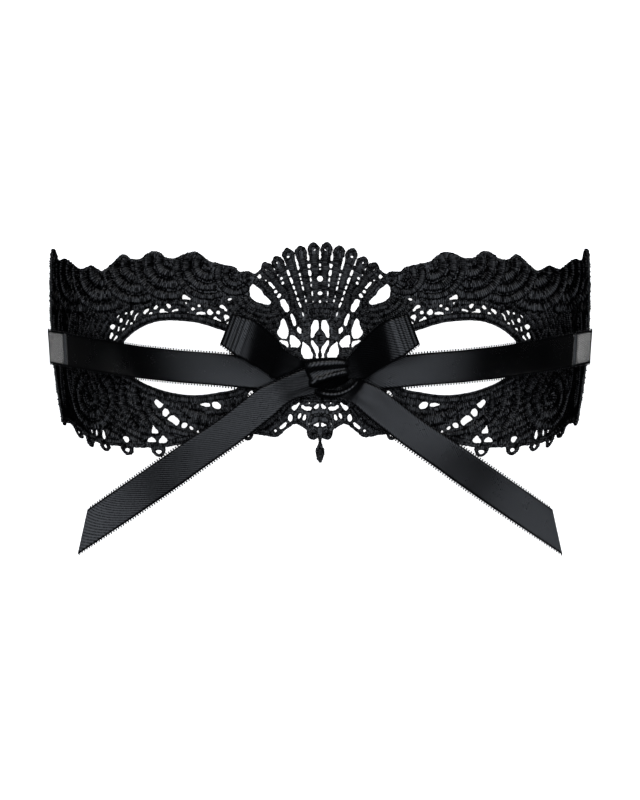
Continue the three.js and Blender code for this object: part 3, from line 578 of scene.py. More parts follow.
def thread_map(material):
    """The two values of the thread map, along and across, and the place on the piece."""
    wire = Wire(material.node_tree)
    place = wire.node('ShaderNodeUVMap', {'uv_map': 'thread'}, {})
    along, across = [wire.node('ShaderNodeSeparateXYZ', {}, {0: place}, axis) for axis in 'XY']
    return along, across, wire.node('ShaderNodeTexCoord', {}, {}, 'Object')


def weave(material, dull_and_shade, **wires):
    """Feeds a finish, through which a dead black matt shows by an amount from 0 to 1: duller threads of
    the weave, and on the lace painted shade too.
    """
    shader = material.node_tree.nodes['Principled BSDF']
    for name, wire in wires.items():
        wire.tree.links.new(wire.socket, shader.inputs[name.replace('_', ' ')])
    matt = dull_and_shade.node('ShaderNodeBsdfPrincipled', {}, {
        'Base Color': (0.0006, 0.0006, 0.0007, 1), 'Roughness': 1.0, 'Specular IOR Level': 0.0})
    mixed = dull_and_shade.node('ShaderNodeMixShader', {}, {
        0: dull_and_shade, 1: Wire(dull_and_shade.tree, shader.outputs[0]), 2: matt})
    dull_and_shade.tree.links.new(mixed.socket, dull_and_shade.tree.nodes['Material Output'].inputs['Surface'])


def hand_over(piece, material, node):
    """Gives a piece its finish, hangs it on the root body and hides the CAD part it stands for."""
    piece.data.materials.append(material)
    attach(piece, 'root')
    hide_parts(node)


cotton = finish('black thread', {'Specular IOR Level': 0.5})
along, across, body = thread_map(cotton)
fuzz = body.noise(2600.0, 3.0)
cloud = body.noise(260.0, 2.0)
crown = 0.5 - (along * (2 * math.pi)).math('COSINE') * 0.5
stitch = body.node('ShaderNodeCombineXYZ', {}, {
    0: along.math('FLOOR'), 1: (across * 0.9 + fuzz * 0.6).math('FLOOR')})
lone = body.node('ShaderNodeTexWhiteNoise', {'noise_dimensions': '2D'}, {'Vector': stitch})
bump = body.node('ShaderNodeBump', {}, {
    'Strength': 0.8, 'Distance': 0.00012, 'Height': crown * 0.4 + fuzz * 0.9})
# Colour: fibres vary it at random, and painted shade darkens the furrow between threads.
shade = (fuzz * 1.3 + crown * 0.3 - 0.4).math('MAXIMUM', 0)
# Painted shade: faces steep to the camera, and the furrows, are mixed towards dead black; single
# stitches and clouds of them are duller at random.
steep_shade = body.node('ShaderNodeLayerWeight', {}, {'Blend': 0.5}, 'Facing')
dull_and_shade = (lone * 1.5 + cloud * 1.2 - crown * 0.5 + steep_shade * 2.6 - 0.95).within(0, 0.96)
weave(cotton, dull_and_shade, Base_Color=shade.tint((0.0004, 0.0004, 0.0005), (0.010, 0.0102, 0.0118)),
      Roughness=fuzz * 0.3 + lone * 0.12 + 0.12, Normal=bump)
hand_over(ground, cotton, 'lace')


def area_inside(line):
    s, v = np.asarray(line).T
    return abs(np.dot(s, np.roll(v, -1)) - np.dot(v, np.roll(s, -1))) / 2


ground_area = area_inside(outline) - 2 * area_inside(eye_line)
ground_area -= 2 * sum(map(area_inside, right_holes)) + sum(map(area_inside, middle_holes))

# Cords: a fine cord, whipped with cotton, is sewn down round every hole, and a narrow row of
# satin stitch runs along the edge. Where there is cloth is kept in a fine grid over one half of
# the pattern, so that all other raised stitching stops at the holes and the edge.
HOLE_CORD = 0.66
SMALL_HOLE = 0.9
SMALL_CORD = 0.42
CORD_GRIP = 0.12
MIDDLE_CORD = 0.5
EDGE_CORD = 1.15
EDGE_INSET = 0.42
GRID = 0.1
GRID_LOW = -22.0
GRID_ROWS = 740
GRID_COLUMNS = 1010
cloth_map = np.zeros((GRID_ROWS, GRID_COLUMNS), bool)


def paint(line, value):
    ends = np.roll(line, -1, axis=0)
    rows = (np.array([line[:, 1].min(), line[:, 1].max()]) - GRID_LOW) / GRID
    for row in range(*np.clip(rows, 0, GRID_ROWS - 1).astype(int) + [0, 1]):
        v = GRID_LOW + (row + 0.5) * GRID
        crosses = (line[:, 1] <= v) != (ends[:, 1] <= v)
        a, b = line[crosses], ends[crosses]
        at = np.sort(a[:, 0] + (v - a[:, 1]) * (b[:, 0] - a[:, 0]) / (b[:, 1] - a[:, 1]))
        for start, end in np.clip(at / GRID, 0, None).astype(int).reshape(-1, 2):
            cloth_map[row, start:end] = value


paint(outline, True)
for line in [eye_line, *right_holes, *middle_holes]:
    paint(line, False)


def is_cloth(s, v):
    row = np.clip(((v - GRID_LOW) / GRID).astype(int), 0, GRID_ROWS - 1)
    column = np.clip((np.abs(s) / GRID).astype(int), 0, GRID_COLUMNS - 1)
    return cloth_map[row, column]


# Satin stitch: threads laid side by side across a band, which stand up as a low cushion. Each
# thread has three rings: the furrow before it and its two shoulders.
EDGE_MARGIN = 0.15
THREAD_RINGS = np.array([0, 0.3, 0.72])
RING_HEIGHTS = [0.5, 1.0, 1.0]
RING_WIDTHS = [0.86, 1.0, 1.0]
ROUNDNESS = 0.6
UNEVEN = 0.06
LEAST_ROOM = 0.12
SHORTEST_RUN = 4
UNDERSIDE = 40
MIRRORED_THREADS = 37.0


def way_along(line):
    """How far along a line each of its points lies."""
    steps = np.linalg.norm(np.diff(line, axis=0), axis=1)
    return np.concatenate(([0], np.cumsum(steps)))


def read_off(at, way, line):
    """The points at these distances along a line."""
    return np.column_stack([np.interp(at, way, places) for places in line.T])


def unit(vectors):
    return vectors / np.linalg.norm(vectors, axis=-1)[..., None]


def directions(line, closed):
    if closed:
        return unit(np.roll(line, -1, axis=0) - np.roll(line, 1, axis=0))
    return unit(np.gradient(line, axis=0))


def stitched(line, thread, closed):
    """Where the rings of a band lie on its line, and how many threads come before each."""
    line = np.asarray(line, float)
    if closed:
        line = np.vstack((line, line[:1]))
    way = way_along(line)
    count = max(int(round(way[-1] / thread)), 3)
    counted = (np.arange(count)[:, None] + THREAD_RINGS).ravel()
    at = counted * way[-1] / count
    at = at + random.uniform(-UNEVEN, UNEVEN, len(at)) * thread
    return read_off(at, way, line), at, counted


def room_beside(line, normal, width, under):
    """How far each ring may reach to one side before a hole, the edge or a band above it."""
    steps = np.arange(0, width.max() + EDGE_MARGIN, EDGE_MARGIN)
    at = line[:, None, :] + normal[:, None, :] * steps[None, :, None]
    free = is_cloth(at[..., 0], at[..., 1])
    for s, v, radius in under:
        free &= np.hypot(at[..., 0] - s, at[..., 1] - v) > radius
    blocked = ~free
    first = np.where(blocked.any(axis=1), blocked.argmax(axis=1), len(steps))
    return np.minimum((first - 1) * EDGE_MARGIN, width)


def band_rings(line, width, height=0.42, lift=0.0, corners=8, closed=False, kept=False,
               under=(), thread=THREAD, loose=0.2):
    """The rings of a band, as lists of runs that no hole breaks."""
    middle, way, counted = stitched(line, thread, closed)
    normal = directions(middle, closed)[:, ::-1] * [-1, 1]
    widths = np.atleast_1d(width)
    half = np.interp(way, np.linspace(0, way[-1], len(widths)), widths) / 2
    if kept:
        left, right = half, half
    else:
        left = room_beside(middle, normal, half, under)
        right = room_beside(middle, -normal, half, under)
    solid = (left > LEAST_ROOM) & (right > LEAST_ROOM)
    each = np.repeat(random.uniform(1 - loose, 1 + loose, len(way) // 3), 3)
    furrow = np.tile(RING_HEIGHTS, len(way) // 3) * each
    tooth = np.tile(RING_WIDTHS, len(way) // 3) * (0.4 + 0.6 * each)
    if closed and solid.all():
        runs = [(np.arange(len(way)), True)]
    else:
        edges = np.flatnonzero(np.diff(np.concatenate(([0], solid.astype(int), [0]))))
        runs = [(np.arange(a, b), False)
                for a, b in edges.reshape(-1, 2) if b - a > SHORTEST_RUN]
    angles = (np.arange(corners) + 0.5) * 2 * math.pi / corners
    across, up = np.cos(angles), np.sin(angles)
    up = np.sign(up) * np.abs(up) ** ROUNDNESS
    made = []
    for rings, whole in runs:
        taper = np.ones(len(rings))
        if not whole:
            length = max(min(half[rings].max(), 1.0), 0.4)
            from_end = np.minimum(way[rings] - way[rings[0]], way[rings[-1]] - way[rings])
            from_end = np.clip(from_end, 0, None) + 0.06
            taper = np.sqrt(1 - (1 - np.minimum(from_end / length, 1)) ** 2)
        side = np.where(across[None, :] > 0, left[rings, None], right[rings, None])
        offset = across[None, :] * side * (taper * tooth[rings])[:, None]
        rise = MID_RISE + lift + up[None, :] * height * (taper * furrow[rings])[:, None]
        flat_place = middle[rings, None, :] + normal[rings, None, :] * offset[:, :, None]
        points = np.concatenate((flat_place, rise[:, :, None]), axis=2)
        along = np.broadcast_to(counted[rings, None], offset.shape)
        below = np.where(up > 0, 0, UNDERSIDE)[None, :]
        made.append((points, np.stack((along, offset + below), axis=2), whole))
    return made


def mesh_piece(name, points, faces, threads):
    """A smooth mesh of points in metres, with its thread map."""
    mesh = bpy.data.meshes.new(name)
    mesh.from_pydata(points.tolist(), [], faces)
    made = bpy.data.objects.new(name, mesh)
    bpy.context.scene.collection.objects.link(made)
    map_threads(made, threads)
    mesh.shade_smooth()
    return made


def sewn(name, bands, mirrored=True):
    """One piece of these bands and of their mirror images, sewn to the ground."""
    points, threads, faces = [], [], []
    total = 0
    for rings, uv, whole in bands:
        for side in ((1, -1) if mirrored else (1,)):
            count, corners = rings.shape[:2]
            index = total + np.arange(count * corners).reshape(count, corners)
            here, there = index, np.roll(index, -1, axis=0)
            if not whole:
                here, there = index[:-1], index[1:]
            quads = np.stack((
                here, np.roll(here, -1, axis=1), np.roll(there, -1, axis=1), there), axis=2)
            caps = [] if whole else [index[0][::-1].tolist(), index[-1].tolist()]
            faces += [face[::side] for face in quads.reshape(-1, 4).tolist() + caps]
            points.append((rings * [side, 1, 1]).reshape(-1, 3))
            threads.append(uv.reshape(-1, 2) + [MIRRORED_THREADS * (side < 0), 0])
            total += count * corners
    made = mesh_piece(name, bent(np.vstack(points)), faces, np.vstack(threads))
    hand_over(made, cotton, 'lace')


def offset_line(line, out):
    """A closed line moved outwards; its points run either way round."""
    s, v = line.T
    turning = np.sign(np.dot(s, np.roll(v, -1)) - np.dot(v, np.roll(s, -1)))
    return line + directions(line, True)[:, ::-1] * [1, -1] * turning * out


cords = []
for line in right_holes:
    width = SMALL_CORD if area_inside(line) < SMALL_HOLE else HOLE_CORD
    cords += band_rings(offset_line(line, width / 2 - CORD_GRIP), width, width * 0.6, corners=6,
                        closed=True, kept=True, thread=0.7, loose=0.35)
sewn('lace_hole_cords', cords)
cords = []
for line in middle_holes:
    cords += band_rings(offset_line(line, 0.2), MIDDLE_CORD, 0.34, corners=6, closed=True,
                        kept=True, thread=0.6, loose=0.3)
cords += band_rings(offset_line(outline, -EDGE_INSET), EDGE_CORD, 0.5, closed=True, kept=True,
                    thread=0.75, loose=0.35)
sewn('lace_edge_cord', cords, mirrored=False)

# Eye rims: a broad band of cotton satin stitch round each eye, with a whipped cord on its inner
# edge. Each is given by how far out it runs, its width, its height and its corners.
EYE_RIMS = [[1.45, 2.1, 0.62, 8], [0.22, 0.8, 0.5, 6]]
rims = []
for out, width, height, corners in EYE_RIMS:
    rims += band_rings(offset_line(eye_line, out), width, height, corners=corners, closed=True,
                       kept=True)
sewn('lace_eye_rims', rims)

# Fan: a bar of cotton satin stitch on each finger, with a round head that is sewn over its end.
# Thin cross threads join the fingers, and bars, a stem, a bud and a leg run down the middle.
FINGER_START = [15.2, 15.2, 15.2, 18, 18]
FINGER_WIDTHS = [1.4, 2.0, 2.7, 3.4, 3.0]
FINGER_END = 3.4
HEAD = [[-3.6, -0.9], [-2.4, -1.2], [-1.3, -0.85], [-0.8, 0], [-1.3, 0.85], [-2.4, 1.2], [-3.6, 0.9]]
CROSS_REACH = 0.8
FAN_TIES = [[28.5, 3.4, 2.4], [26.9, 3.6, 2.4], [25.5, 3.0, 1.8]]
FAN_STUDS = [[31.0, 32.0], [34.0, 36.2], [38.4, 40.0]]


def upright(*heights):
    """A line straight up or down the middle."""
    return [[0, v] for v in heights]


fan = []
for finger, length in enumerate(FINGER_LENGTHS):
    angle = FINGER_PITCH * (finger + 0.5)
    spine = [on_fan(angle, r)
             for r in np.linspace(FINGER_START[finger], length - FINGER_END, 24)]
    fan += band_rings(spine, FINGER_WIDTHS, 0.55, loose=0.4)
    head = [on_fan(angle, length + r, side) for r, side in HEAD]
    fan += band_rings(flowing(head, 0.5), 1.3, 0.6, kept=True, loose=0.4)
for gap, rows in enumerate(FAN_GAPS):
    for (inner, near, _), (outer, far, _) in zip(rows, rows[1:]):
        radius = (inner + near / 2 + outer - far / 2) / 2
        tie = [on_fan(FINGER_PITCH * (gap + 1), radius, side) for side in (-CROSS_REACH, CROSS_REACH)]
        fan += band_rings(tie, min(outer - far / 2 - inner - near / 2 + 0.1, 0.7), 0.34, corners=6,
                          kept=True, thread=0.4)
for v, reach, width in FAN_TIES:
    fan += band_rings([[-reach, v], [0, v + 0.5], [reach, v]], width, 0.45, lift=0.1, loose=0.4)
for low, high in FAN_STUDS:
    fan += band_rings(upright(low, high), 1.4, 0.5)
fan += band_rings(upright(25.0, 22.5, 20.6), 0.62, 0.5, kept=True, corners=6, loose=0.4)
fan += band_rings(upright(20.9, 20.2, 18.6, 17.2, 16.2), [0.9, 2.5, 3.4, 2.2, 0.6], 0.36, kept=True,
                  thread=0.8)
fan += band_rings(upright(16.6, 14.6, 14.0, 13.5, 13.0, 12.4, 11.0), [0.5, 0.5, 1, 1, 1, 0.5, 0.6],
                  0.5, kept=True, corners=6, thread=0.4)
sewn('lace_fan', fan)

# Shells: round lobes of cotton satin stitch along the upper edge, sewn in two to four rows, like
# fish scales, of which the one nearer the middle lies on top. Each is given by its centre and
# the radii of its rows.
SHELLS = [
    [21.6, 37.6, [1.1, 2.9]], [26.4, 38.6, [1.7, 4.2, 6.9]], [35.0, 41.6, [2.0, 5.3, 8.6, 11.2]],
    [47.4, 42.6, [2.0, 5.4, 9.0, 12.4]], [58.6, 41.6, [2.2, 5.8, 9.4, 12.6]],
    [70.0, 40.0, [2.2, 6.0, 10.2, 13.6]], [81.0, 39.5, [2.2, 6.0, 10.2, 13.6]],
    [92.0, 40.0, [2.2, 6.0, 10.2, 13.6]],
]
SHELL_HEART = 0.4
SHELL_START = 120
SHELL_END = -205
HEART_END = -150
shells = []
above = []
for s, v, radii in SHELLS:
    for inner, outer in zip([SHELL_HEART] + radii, radii):
        end = SHELL_END if inner > SHELL_HEART else HEART_END
        row = arc(s, v, (inner + outer) / 2, SHELL_START, end)
        shells += band_rings(row, outer - inner + 0.1, 0.6, lift=0.12, under=above, loose=0.3)
    above.append([s, v, radii[-1] - 0.2])
sewn('lace_shells', shells)

# Brow: rows of cotton stitches round the eye, sewn to the ground, which fill the wing up to the
# shells, and closer rows round the largest hole.
BROW_ROWS = 9
BROW_PITCH = 2.1
BROW_START = 3.5
TEARDROP_ROWS = (1.6, 3.4, 5.2, 7.0)
brow = []
for row in range(BROW_ROWS):
    line = flowing(offset_line(eye_line, BROW_START + BROW_PITCH * row)[::3], 0.8, closed=True)
    brow += band_rings(line, 2.2, 0.5, closed=True, under=above, loose=0.35)
teardrop = flowing(max(map(pairs, OPENINGS), key=area_inside), 0.5, closed=True)
for out in TEARDROP_ROWS:
    brow += band_rings(offset_line(teardrop, out), 1.9, 0.55, lift=0.1, closed=True, under=above)
sewn('lace_brow', brow)

# Lower wing: a leaf of long upright stitches, crescents about the cheek, a narrow border along
# the edge and a round of three rows, all of cotton satin stitch. Each band is given by its
# line, its widths and its height.
WING_BANDS = [
    [[[24, -3.5], [30, -6.2], [36, -6.6], [42, -4.6], [46.5, -2]], [2.0, 4.6, 5.6, 4.6, 2.0], 0.62],
    [[[26, -8.6], [33, -9.9], [40, -11.6], [50, -13]], [2.0, 2.2, 2.2, 1.6], 0.55],
    [[[55.6, 3.5], [56.5, -1], [55.9, -4.6], [51.7, -8.4], [45.8, -10.6], [40, -11]],
     [1.4, 2.6, 2.8, 2.2, 1.6], 0.6],
    [[[60.4, 4.4], [60.6, 0], [59.7, -3.8], [57, -8.6]], [1.6, 3.2, 3.4, 2.2], 0.6],
    [[[64.2, 6.8], [65.4, 1.5], [64.6, -4], [61.5, -10]], [1.6, 3.2, 3.6, 2.6], 0.6],
]
BORDER = np.arange(14, 98.6, 0.5)
BORDER_INSET = 1.3
ROUND_PLACE = (77.5, 0.6)
ROUND_ARC = (80, -230)
ROUND_ROWS = [[2.0, 2.2], [5.4, 3.2], [8.8, 3.2]]


def smooth_bands(table, **sewing):
    made = []
    for line, widths, height in table:
        made += band_rings(flowing(line, 1), widths, height, **sewing)
    return made


wing = smooth_bands(WING_BANDS, lift=0.1)
border = np.array([[s, lower_edge(s) + BORDER_INSET] for s in BORDER])
wing += band_rings(border, 1.7, 0.5, lift=0.05)
for radius, width in ROUND_ROWS:
    wing += band_rings(arc(*ROUND_PLACE, radius, *ROUND_ARC), width, 0.6, lift=0.12)
sewn('lace_wing', wing)

# Cheeks: two rows of petals on the temple, each a ring of cotton satin stitch with a vein sewn
# inside it. Each is given by its middle, length, width and turn.
PETALS = [
    [72.5, 16.5, 13, 2.8, 72], [78.5, 18.5, 14, 3.0, 82], [87, 8, 15, 3.2, 90], [93.5, 5, 15, 2.8, 96],
    [76, 25, 15, 3.0, 118], [83.5, 23, 13, 3.2, 106], [91, 22, 14, 3.2, 96], [96.6, 18, 16, 2.4, 90],
]
PETAL_POINT = 0.3
PETAL_INSET = 0.3
VEIN_ENDS = (-0.4, 0.4)
petals = []
for s, v, length, width, turn in PETALS:
    leaf = offset_line(hole(s, v, length, width, turn, PETAL_POINT)[::4], -PETAL_INSET)
    petals += band_rings(flowing(leaf, 0.6, closed=True), 1.2, 0.6, lift=0.12, closed=True)
    c, n = math.cos(math.radians(turn)), math.sin(math.radians(turn))
    vein = [[s + c * length * end, v + n * length * end] for end in VEIN_ENDS]
    petals += band_rings(vein, [0.6, width - 1.0, 0.6], 0.5, lift=0.12)
sewn('lace_petals', petals)

# Middle: the bars between the large holes over the bow and the lobes under it, of cotton satin
# stitch sewn to the ground. The rows are as on the lower wing.
CENTRE_BANDS = [
    [[[0, -0.4], [3, -0.5], [6.5, -0.6], [10.5, -3.6], [12.5, -6.4]], 1.5, 0.55],
    [[[0, -4.8], [2.6, -5.4], [3.4, -7.5], [2.4, -9.4]], 1.6, 0.55],
    [[[6.5, -8], [9, -7.4], [11, -9.3], [14, -11.2]], 1.3, 0.5],
    [[[13, -4], [16, -6.5], [20, -8.5], [24, -9]], [1.6, 3.6, 3.2, 1.6], 0.6],
    [[[14, 14], [15.2, 18], [14.4, 21]], [2.6, 3.4, 2.0], 0.6],
    [[[17, -2], [19, 4], [18.4, 10], [16, 13]], [2, 2.6, 2.6, 1.6], 0.55],
    [[[0, 8.5], [4, 9.5], [9, 12], [13.5, 15]], [3, 3, 2.4, 1.6], 0.55],
    [[[0, 4.5], [5, 5], [10, 7], [15, 10]], 3.2, 0.55],
    [[[0, 1.2], [6, 1.5], [11, 2.8], [16, 6]], 3.0, 0.55],
    [[[13, 23], [14.5, 27], [13, 30.5]], [1.8, 2.6, 1.6], 0.6],
    [[[14, 30], [17, 36.8], [20, 40]], 1.4, 0.55],
    [[[9.2, 22], [9.6, 26], [12.6, 30.8], [16.5, 35.8], [18.5, 37]], [1, 1.4, 1.4, 1.2], 0.5],
    [[[6.2, 16], [6.6, 19.5], [8.6, 22.8]], [1.2, 1.3, 1.2], 0.5],
]
LOBE_RING = 0.9
centre = smooth_bands(CENTRE_BANDS, lift=0.05, under=above)
centre += band_rings(arc(*LOBE[:2], LOBE_RING, 0, 360)[:-1], 1.7, 0.6, closed=True)
sewn('lace_centre', centre)

# Drop: a stalk, a bead and a long bud of cotton satin stitch, which hang from the middle of the
# lower edge. With it the stitching is complete.
pendant = band_rings(upright(-11.8, -12.8, -13.3), [0.8, 0.8, 0.9], 0.4, kept=True)
pendant += band_rings(upright(-13.3, -13.8, -14.3, -14.9), [0.8, 1.7, 1.7, 0.8], 0.62, kept=True,
                      thread=0.4)
pendant += band_rings(upright(-14.9, -15.9, -16.8, -18, -19.1, -19.7),
                      [0.9, 2.3, 2.9, 2.6, 1.4, 0.4], 0.64, kept=True, thread=0.4)
sewn('lace_drop', pendant, mirrored=False)
ground_area * MM * MM


# Core of the knot: the gathered cloth inside it, where strap, loop and tail of a side come
# together. It is of the ribbons' black satin, which has a fine slanting weave and a soft shine.
KNOT_Y = 6.6
CORE_SIZE = [4.8, 2.7, 1.5]
CORE_PLACE = [3.0, KNOT_Y + 1.9, 2.9]
CORE_FOLDS = 7
TWILL = 0.6
TWILL_TURN = math.radians(30)
satin = finish('black satin', {'Specular IOR Level': 0.5})
along, across, body = thread_map(satin)
cloud = body.noise(150.0, 2.0)
grain = body.noise(2600.0, 2.0)
slant = along * math.sin(TWILL_TURN) + across * math.cos(TWILL_TURN)
twill = (slant * (2 * math.pi / TWILL)).math('SINE')
bump = body.node('ShaderNodeBump', {}, {
    'Strength': 1.0, 'Distance': 0.00004, 'Height': twill * 0.4 + grain * 0.5 + cloud * 1.0})
weave(satin, (twill * 0.4 + grain * 1.4 - 0.42).within(0, 0.92),
      Base_Color=cloud.tint((0.0008, 0.0008, 0.001), (0.0034, 0.0036, 0.0042)),
      Roughness=grain * 0.06 + cloud * 0.06 + 0.2, Normal=bump)

bpy.ops.mesh.primitive_uv_sphere_add(segments=28, ring_count=14, radius=1)
core = bpy.context.object
core.name = 'ribbon_left_core'
place = vertices_of(core)
fold = 1 + 0.06 * np.sin(np.arctan2(place[:, 2], place[:, 1]) * CORE_FOLDS)
place = place * CORE_SIZE * fold[:, None] + CORE_PLACE
core.data.vertices.foreach_set('co', (place * MM).ravel())
map_threads(core, place[:, :2])
core.data.shade_smooth()
hand_over(core, satin, 'ribbon_left')

# Ribbons: black satin, ten millimetres wide, with a row of tiny loops along both edges. Each is
# sewn to the outer face at one end of the lace, turns over that end and sags to the middle.
RIBBON_WIDTH = 10
RIBBON_CLOTH = 0.28
LEAF_GAP = 0.475
LEAF_LENGTH = 8.8
LEAF_POINTS = 10
STRAP_POINTS = 80
TURN = [[0.03, 0.5], [0.3, 0.95], [0.8, 1.45], [1.4, 2.04], [2.7, 3.3], [4.0, 4.5], [4.7, 5.08],
        [5.05, 5.22], [5.35, 5.12]]
STRAP_REST_X = 15
STRAP_REST_Z = 2.6
STRAP_POWER = 3
STRAP_ROOTS = {-1: 4.2, 1: 8.4}
STRAP_HEIGHTS = [[8, 7], [20, 8], [32, 9.2], [44, 10.1], [56, 11.4], [68, 13.3], [84, 16.2]]


def strap_height(x):
    xs, ys = np.array(STRAP_HEIGHTS, float).T
    low = ys[0] + (x - xs[0]) * (ys[1] - ys[0]) / (xs[1] - xs[0])
    return np.where(x < xs[0], low, np.interp(x, xs, ys))


def strap_line(root):
    """Middle line of the strap in millimetres, from the end of its leaf to the knot."""
    s = HALF_LENGTH - LEAF_LENGTH * (1 - np.linspace(0, 1, LEAF_POINTS))
    x = bent(np.column_stack((s, s * 0 + FULL_HEIGHT, s * 0)))[:, 0] / MM
    leaf = bent(np.column_stack((s, strap_height(x), s * 0 - LEAF_GAP))) / MM
    edge = leaf[-1]
    profile = flowing([[0, 0]] + TURN, 0.3)[1:]
    x = edge[0] - profile[:, 0]
    over = np.column_stack((x, strap_height(x), edge[2] + profile[:, 1]))
    top = over[-1]
    x = np.linspace(top[0], root, STRAP_POINTS)[1:]
    sag = np.clip(x - STRAP_REST_X, 0, None) / (top[0] - STRAP_REST_X)
    z = STRAP_REST_Z + (top[2] - STRAP_REST_Z) * sag ** STRAP_POWER
    return np.vstack((leaf, over, np.column_stack((x, strap_height(x), z))))


def strap_edges(root):
    line = strap_line(root)
    along = directions(line, False)
    across = unit(np.array([0, 1, 0]) - along * along[:, 1:2])
    edges = []
    for sign in (1, -1):
        edge = line + across * sign * RIBBON_WIDTH / 2
        edge[:, 0] *= lean(edge[:, 1]) / lean(line[:, 1])
        edges.append(edge)
    return edges


# A loop of the bow, out along its lower layer, round the fold and back; and a tail that runs
# down to the ground and is cut at a slant. Both are drawn for the right side.
LOOP_UPPER = [
    [10.6, 12.8, 3.7], [16, 18.3, 4.8], [21.5, 22.8, 7.4], [25.4, 25.2, 10.6],
    [26.9, 26.2, 14.8], [26.75, 26.2, 17.3], [25.7, 25.9, 18.1], [22.6, 25.0, 18.3],
    [20.4, 24.2, 17.8], [18.4, 23.0, 16.4], [15.4, 20.4, 13.2], [12.9, 17.7, 10.4],
    [10.6, 14.9, 7.7],
]
LOOP_LOWER = [
    [12.4, 7.2, 3.7], [18, 10.8, 4.8], [24, 14.4, 7.4], [28.4, 16.1, 10.6],
    [30.5, 16.9, 14.8], [30.3, 16.7, 17.3], [29.3, 15.9, 18.1], [26.6, 13.7, 18.3],
    [24.2, 12.3, 17.8], [21.6, 10.9, 16.4], [18.7, 9.3, 13.2], [16.2, 7.7, 10.0],
    [13.8, 6.2, 7.2],
]
LOOP_NECKS = {
    -1: [[4.2, 10.4, 2.3], [4.6, 5.4, 2.3], [4.0, 11.2, 3.2], [4.6, 6.0, 2.9]],
    1: [[7.8, 10.6, 2.6], [8.8, 5.6, 2.6], [7.4, 11.2, 4.9], [8.8, 5.8, 4.2]],
}
LOOP_FOLD = 6
TAIL_UPPER = [
    [14.0, 5.4, 8.7], [16.4, 4.3, 9.2], [19.9, 2.5, 9.2], [31, -6.1, 8.3], [41, -12.8, 7.6],
    [48, -17.6, 5.9], [57, -23.8, 2.6], [64, -28.6, 0.9], [72.1, -34.2, 0.3],
]
TAIL_LOWER = [
    [10.2, -1.5, 7.9], [12.6, -3.6, 8.5], [15.5, -6.2, 8.6], [25, -13.6, 7.7], [35.6, -21.1, 6.6],
    [42.6, -26.2, 4.9], [52, -32.7, 1.8], [62, -39.5, 0.6], [75.2, -48.3, 0.3],
]
TAIL_STARTS = {
    -1: [[[1.0, 10.0, 4.1], [3.7, 9.9, 5.0], [9.9, 7.4, 7.0]],
         [[0.6, 2.4, 3.7], [1.9, 1.3, 4.4], [6.6, 0.3, 6.2]]],
    1: [[[10.4, 6.8, 4.9], [12.2, 6.1, 5.9], [13.6, 5.6, 7.5]],
        [[2.6, 1.8, 4.2], [4.0, 0.7, 5.1], [7.2, -0.4, 6.5]]],
}
COLUMNS = 13
ROW = 0.32
PAIR_STEPS = 6
LOOP_START = 120
TAIL_START = 240


def matched(*edges):
    """Smooth edge lines through paired points, with the same number of steps."""
    made = []
    for knots in map(with_ends, edges):
        made.append(np.array(curve(knots, [PAIR_STEPS] * (len(knots) - 3)) + [knots[-2]]))
    return made


def thread_grid(along, across):
    return np.stack(np.broadcast_arrays(along[:, None], across[None, :]), axis=2)


def satin_strip(upper, lower, side, wave, hand, start=0.0):
    """Points and threads of a strip between its edges; wave lifts it off its plane."""
    way = way_along((upper + lower) / 2)
    at = np.linspace(0, way[-1], int(way[-1] / ROW) + 1)
    upper, lower = read_off(at, way, upper), read_off(at, way, lower)
    t = np.linspace(0, 1, COLUMNS)
    sheet = upper[:, None, :] * (1 - t)[None, :, None] + lower[:, None, :] * t[None, :, None]
    out = unit(np.cross(np.gradient(sheet, axis=1), np.gradient(sheet, axis=0)))
    sheet = sheet + out * wave(at[:, None], t[None, :], at[-1])[:, :, None]
    return sheet * [side, 1, 1], thread_grid(at + start, t * RIBBON_WIDTH * hand)


def strap_wave(u, t, length):
    near = np.exp(-(length - u) / 6.0)
    return 0.45 * near * np.sin(t * 4.6 * math.pi) + 0.03 * np.sin(u / 7.0 + 3 * t)


def loop_wave(u, t, length):
    """Gathers at both ends, and ripples beside the fold, parallel to it."""
    ends = np.exp(-u / 4.0) + np.exp(-(length - u) / 4.0)
    from_fold = u - fold_way
    window = np.exp(-((from_fold - 3.4) / 3.2) ** 4)
    ripple = 0.19 * window * np.cos((from_fold - 1.1) * 2 * math.pi / (1.8 + 0.05 * from_fold))
    return 0.12 * ends * np.sin(t * 4.4 * math.pi) + ripple


def tail_wave(u, t, length):
    near = np.exp(-u / 7.0)
    cup = 0.2 * np.exp(-((u - 8) / 5.0) ** 2) * np.sin(t * math.pi)
    return 0.3 * near * np.sin(t * 4.2 * math.pi) + cup + 0.08 * np.sin(u / 5.0 + 2 * t)


def woven(name, strips):
    """One ribbon from its strips, each given the thickness of the cloth."""
    faces = []
    total = 0
    for sheet, _ in strips:
        rows, columns = sheet.shape[:2]
        index = total + np.arange(rows * columns).reshape(rows, columns)
        quads = (index[:-1, :-1], index[1:, :-1], index[1:, 1:], index[:-1, 1:])
        faces += np.stack(quads, axis=2).reshape(-1, 4).tolist()
        total += rows * columns
    points, threads = [np.vstack([part.reshape(-1, part.shape[2]) for part in parts])
                       for parts in zip(*strips)]
    made = mesh_piece(name, points * MM, faces, threads)
    pick(made)
    cloth = made.modifiers.new('cloth', 'SOLIDIFY')
    cloth.thickness = RIBBON_CLOTH * MM
    cloth.offset = 0
    bpy.ops.object.modifier_apply(modifier='cloth')
    return made


# A loop of the selvedge, out from the edge and along it: a narrow neck and a small round head.
PICOT_SHAPE = [[0.5, 0.12], [0.5, -0.12], [0.22, -0.28], [-0.15, -0.1], [-0.15, 0.1], [0.22, 0.28]]
PICOT_THICKNESS = 0.09
PICOT_OUT = 0.08
FIRST_LOOP = 0.5
LAST_LOOP = 0.3
LOOP_PITCH = 0.9


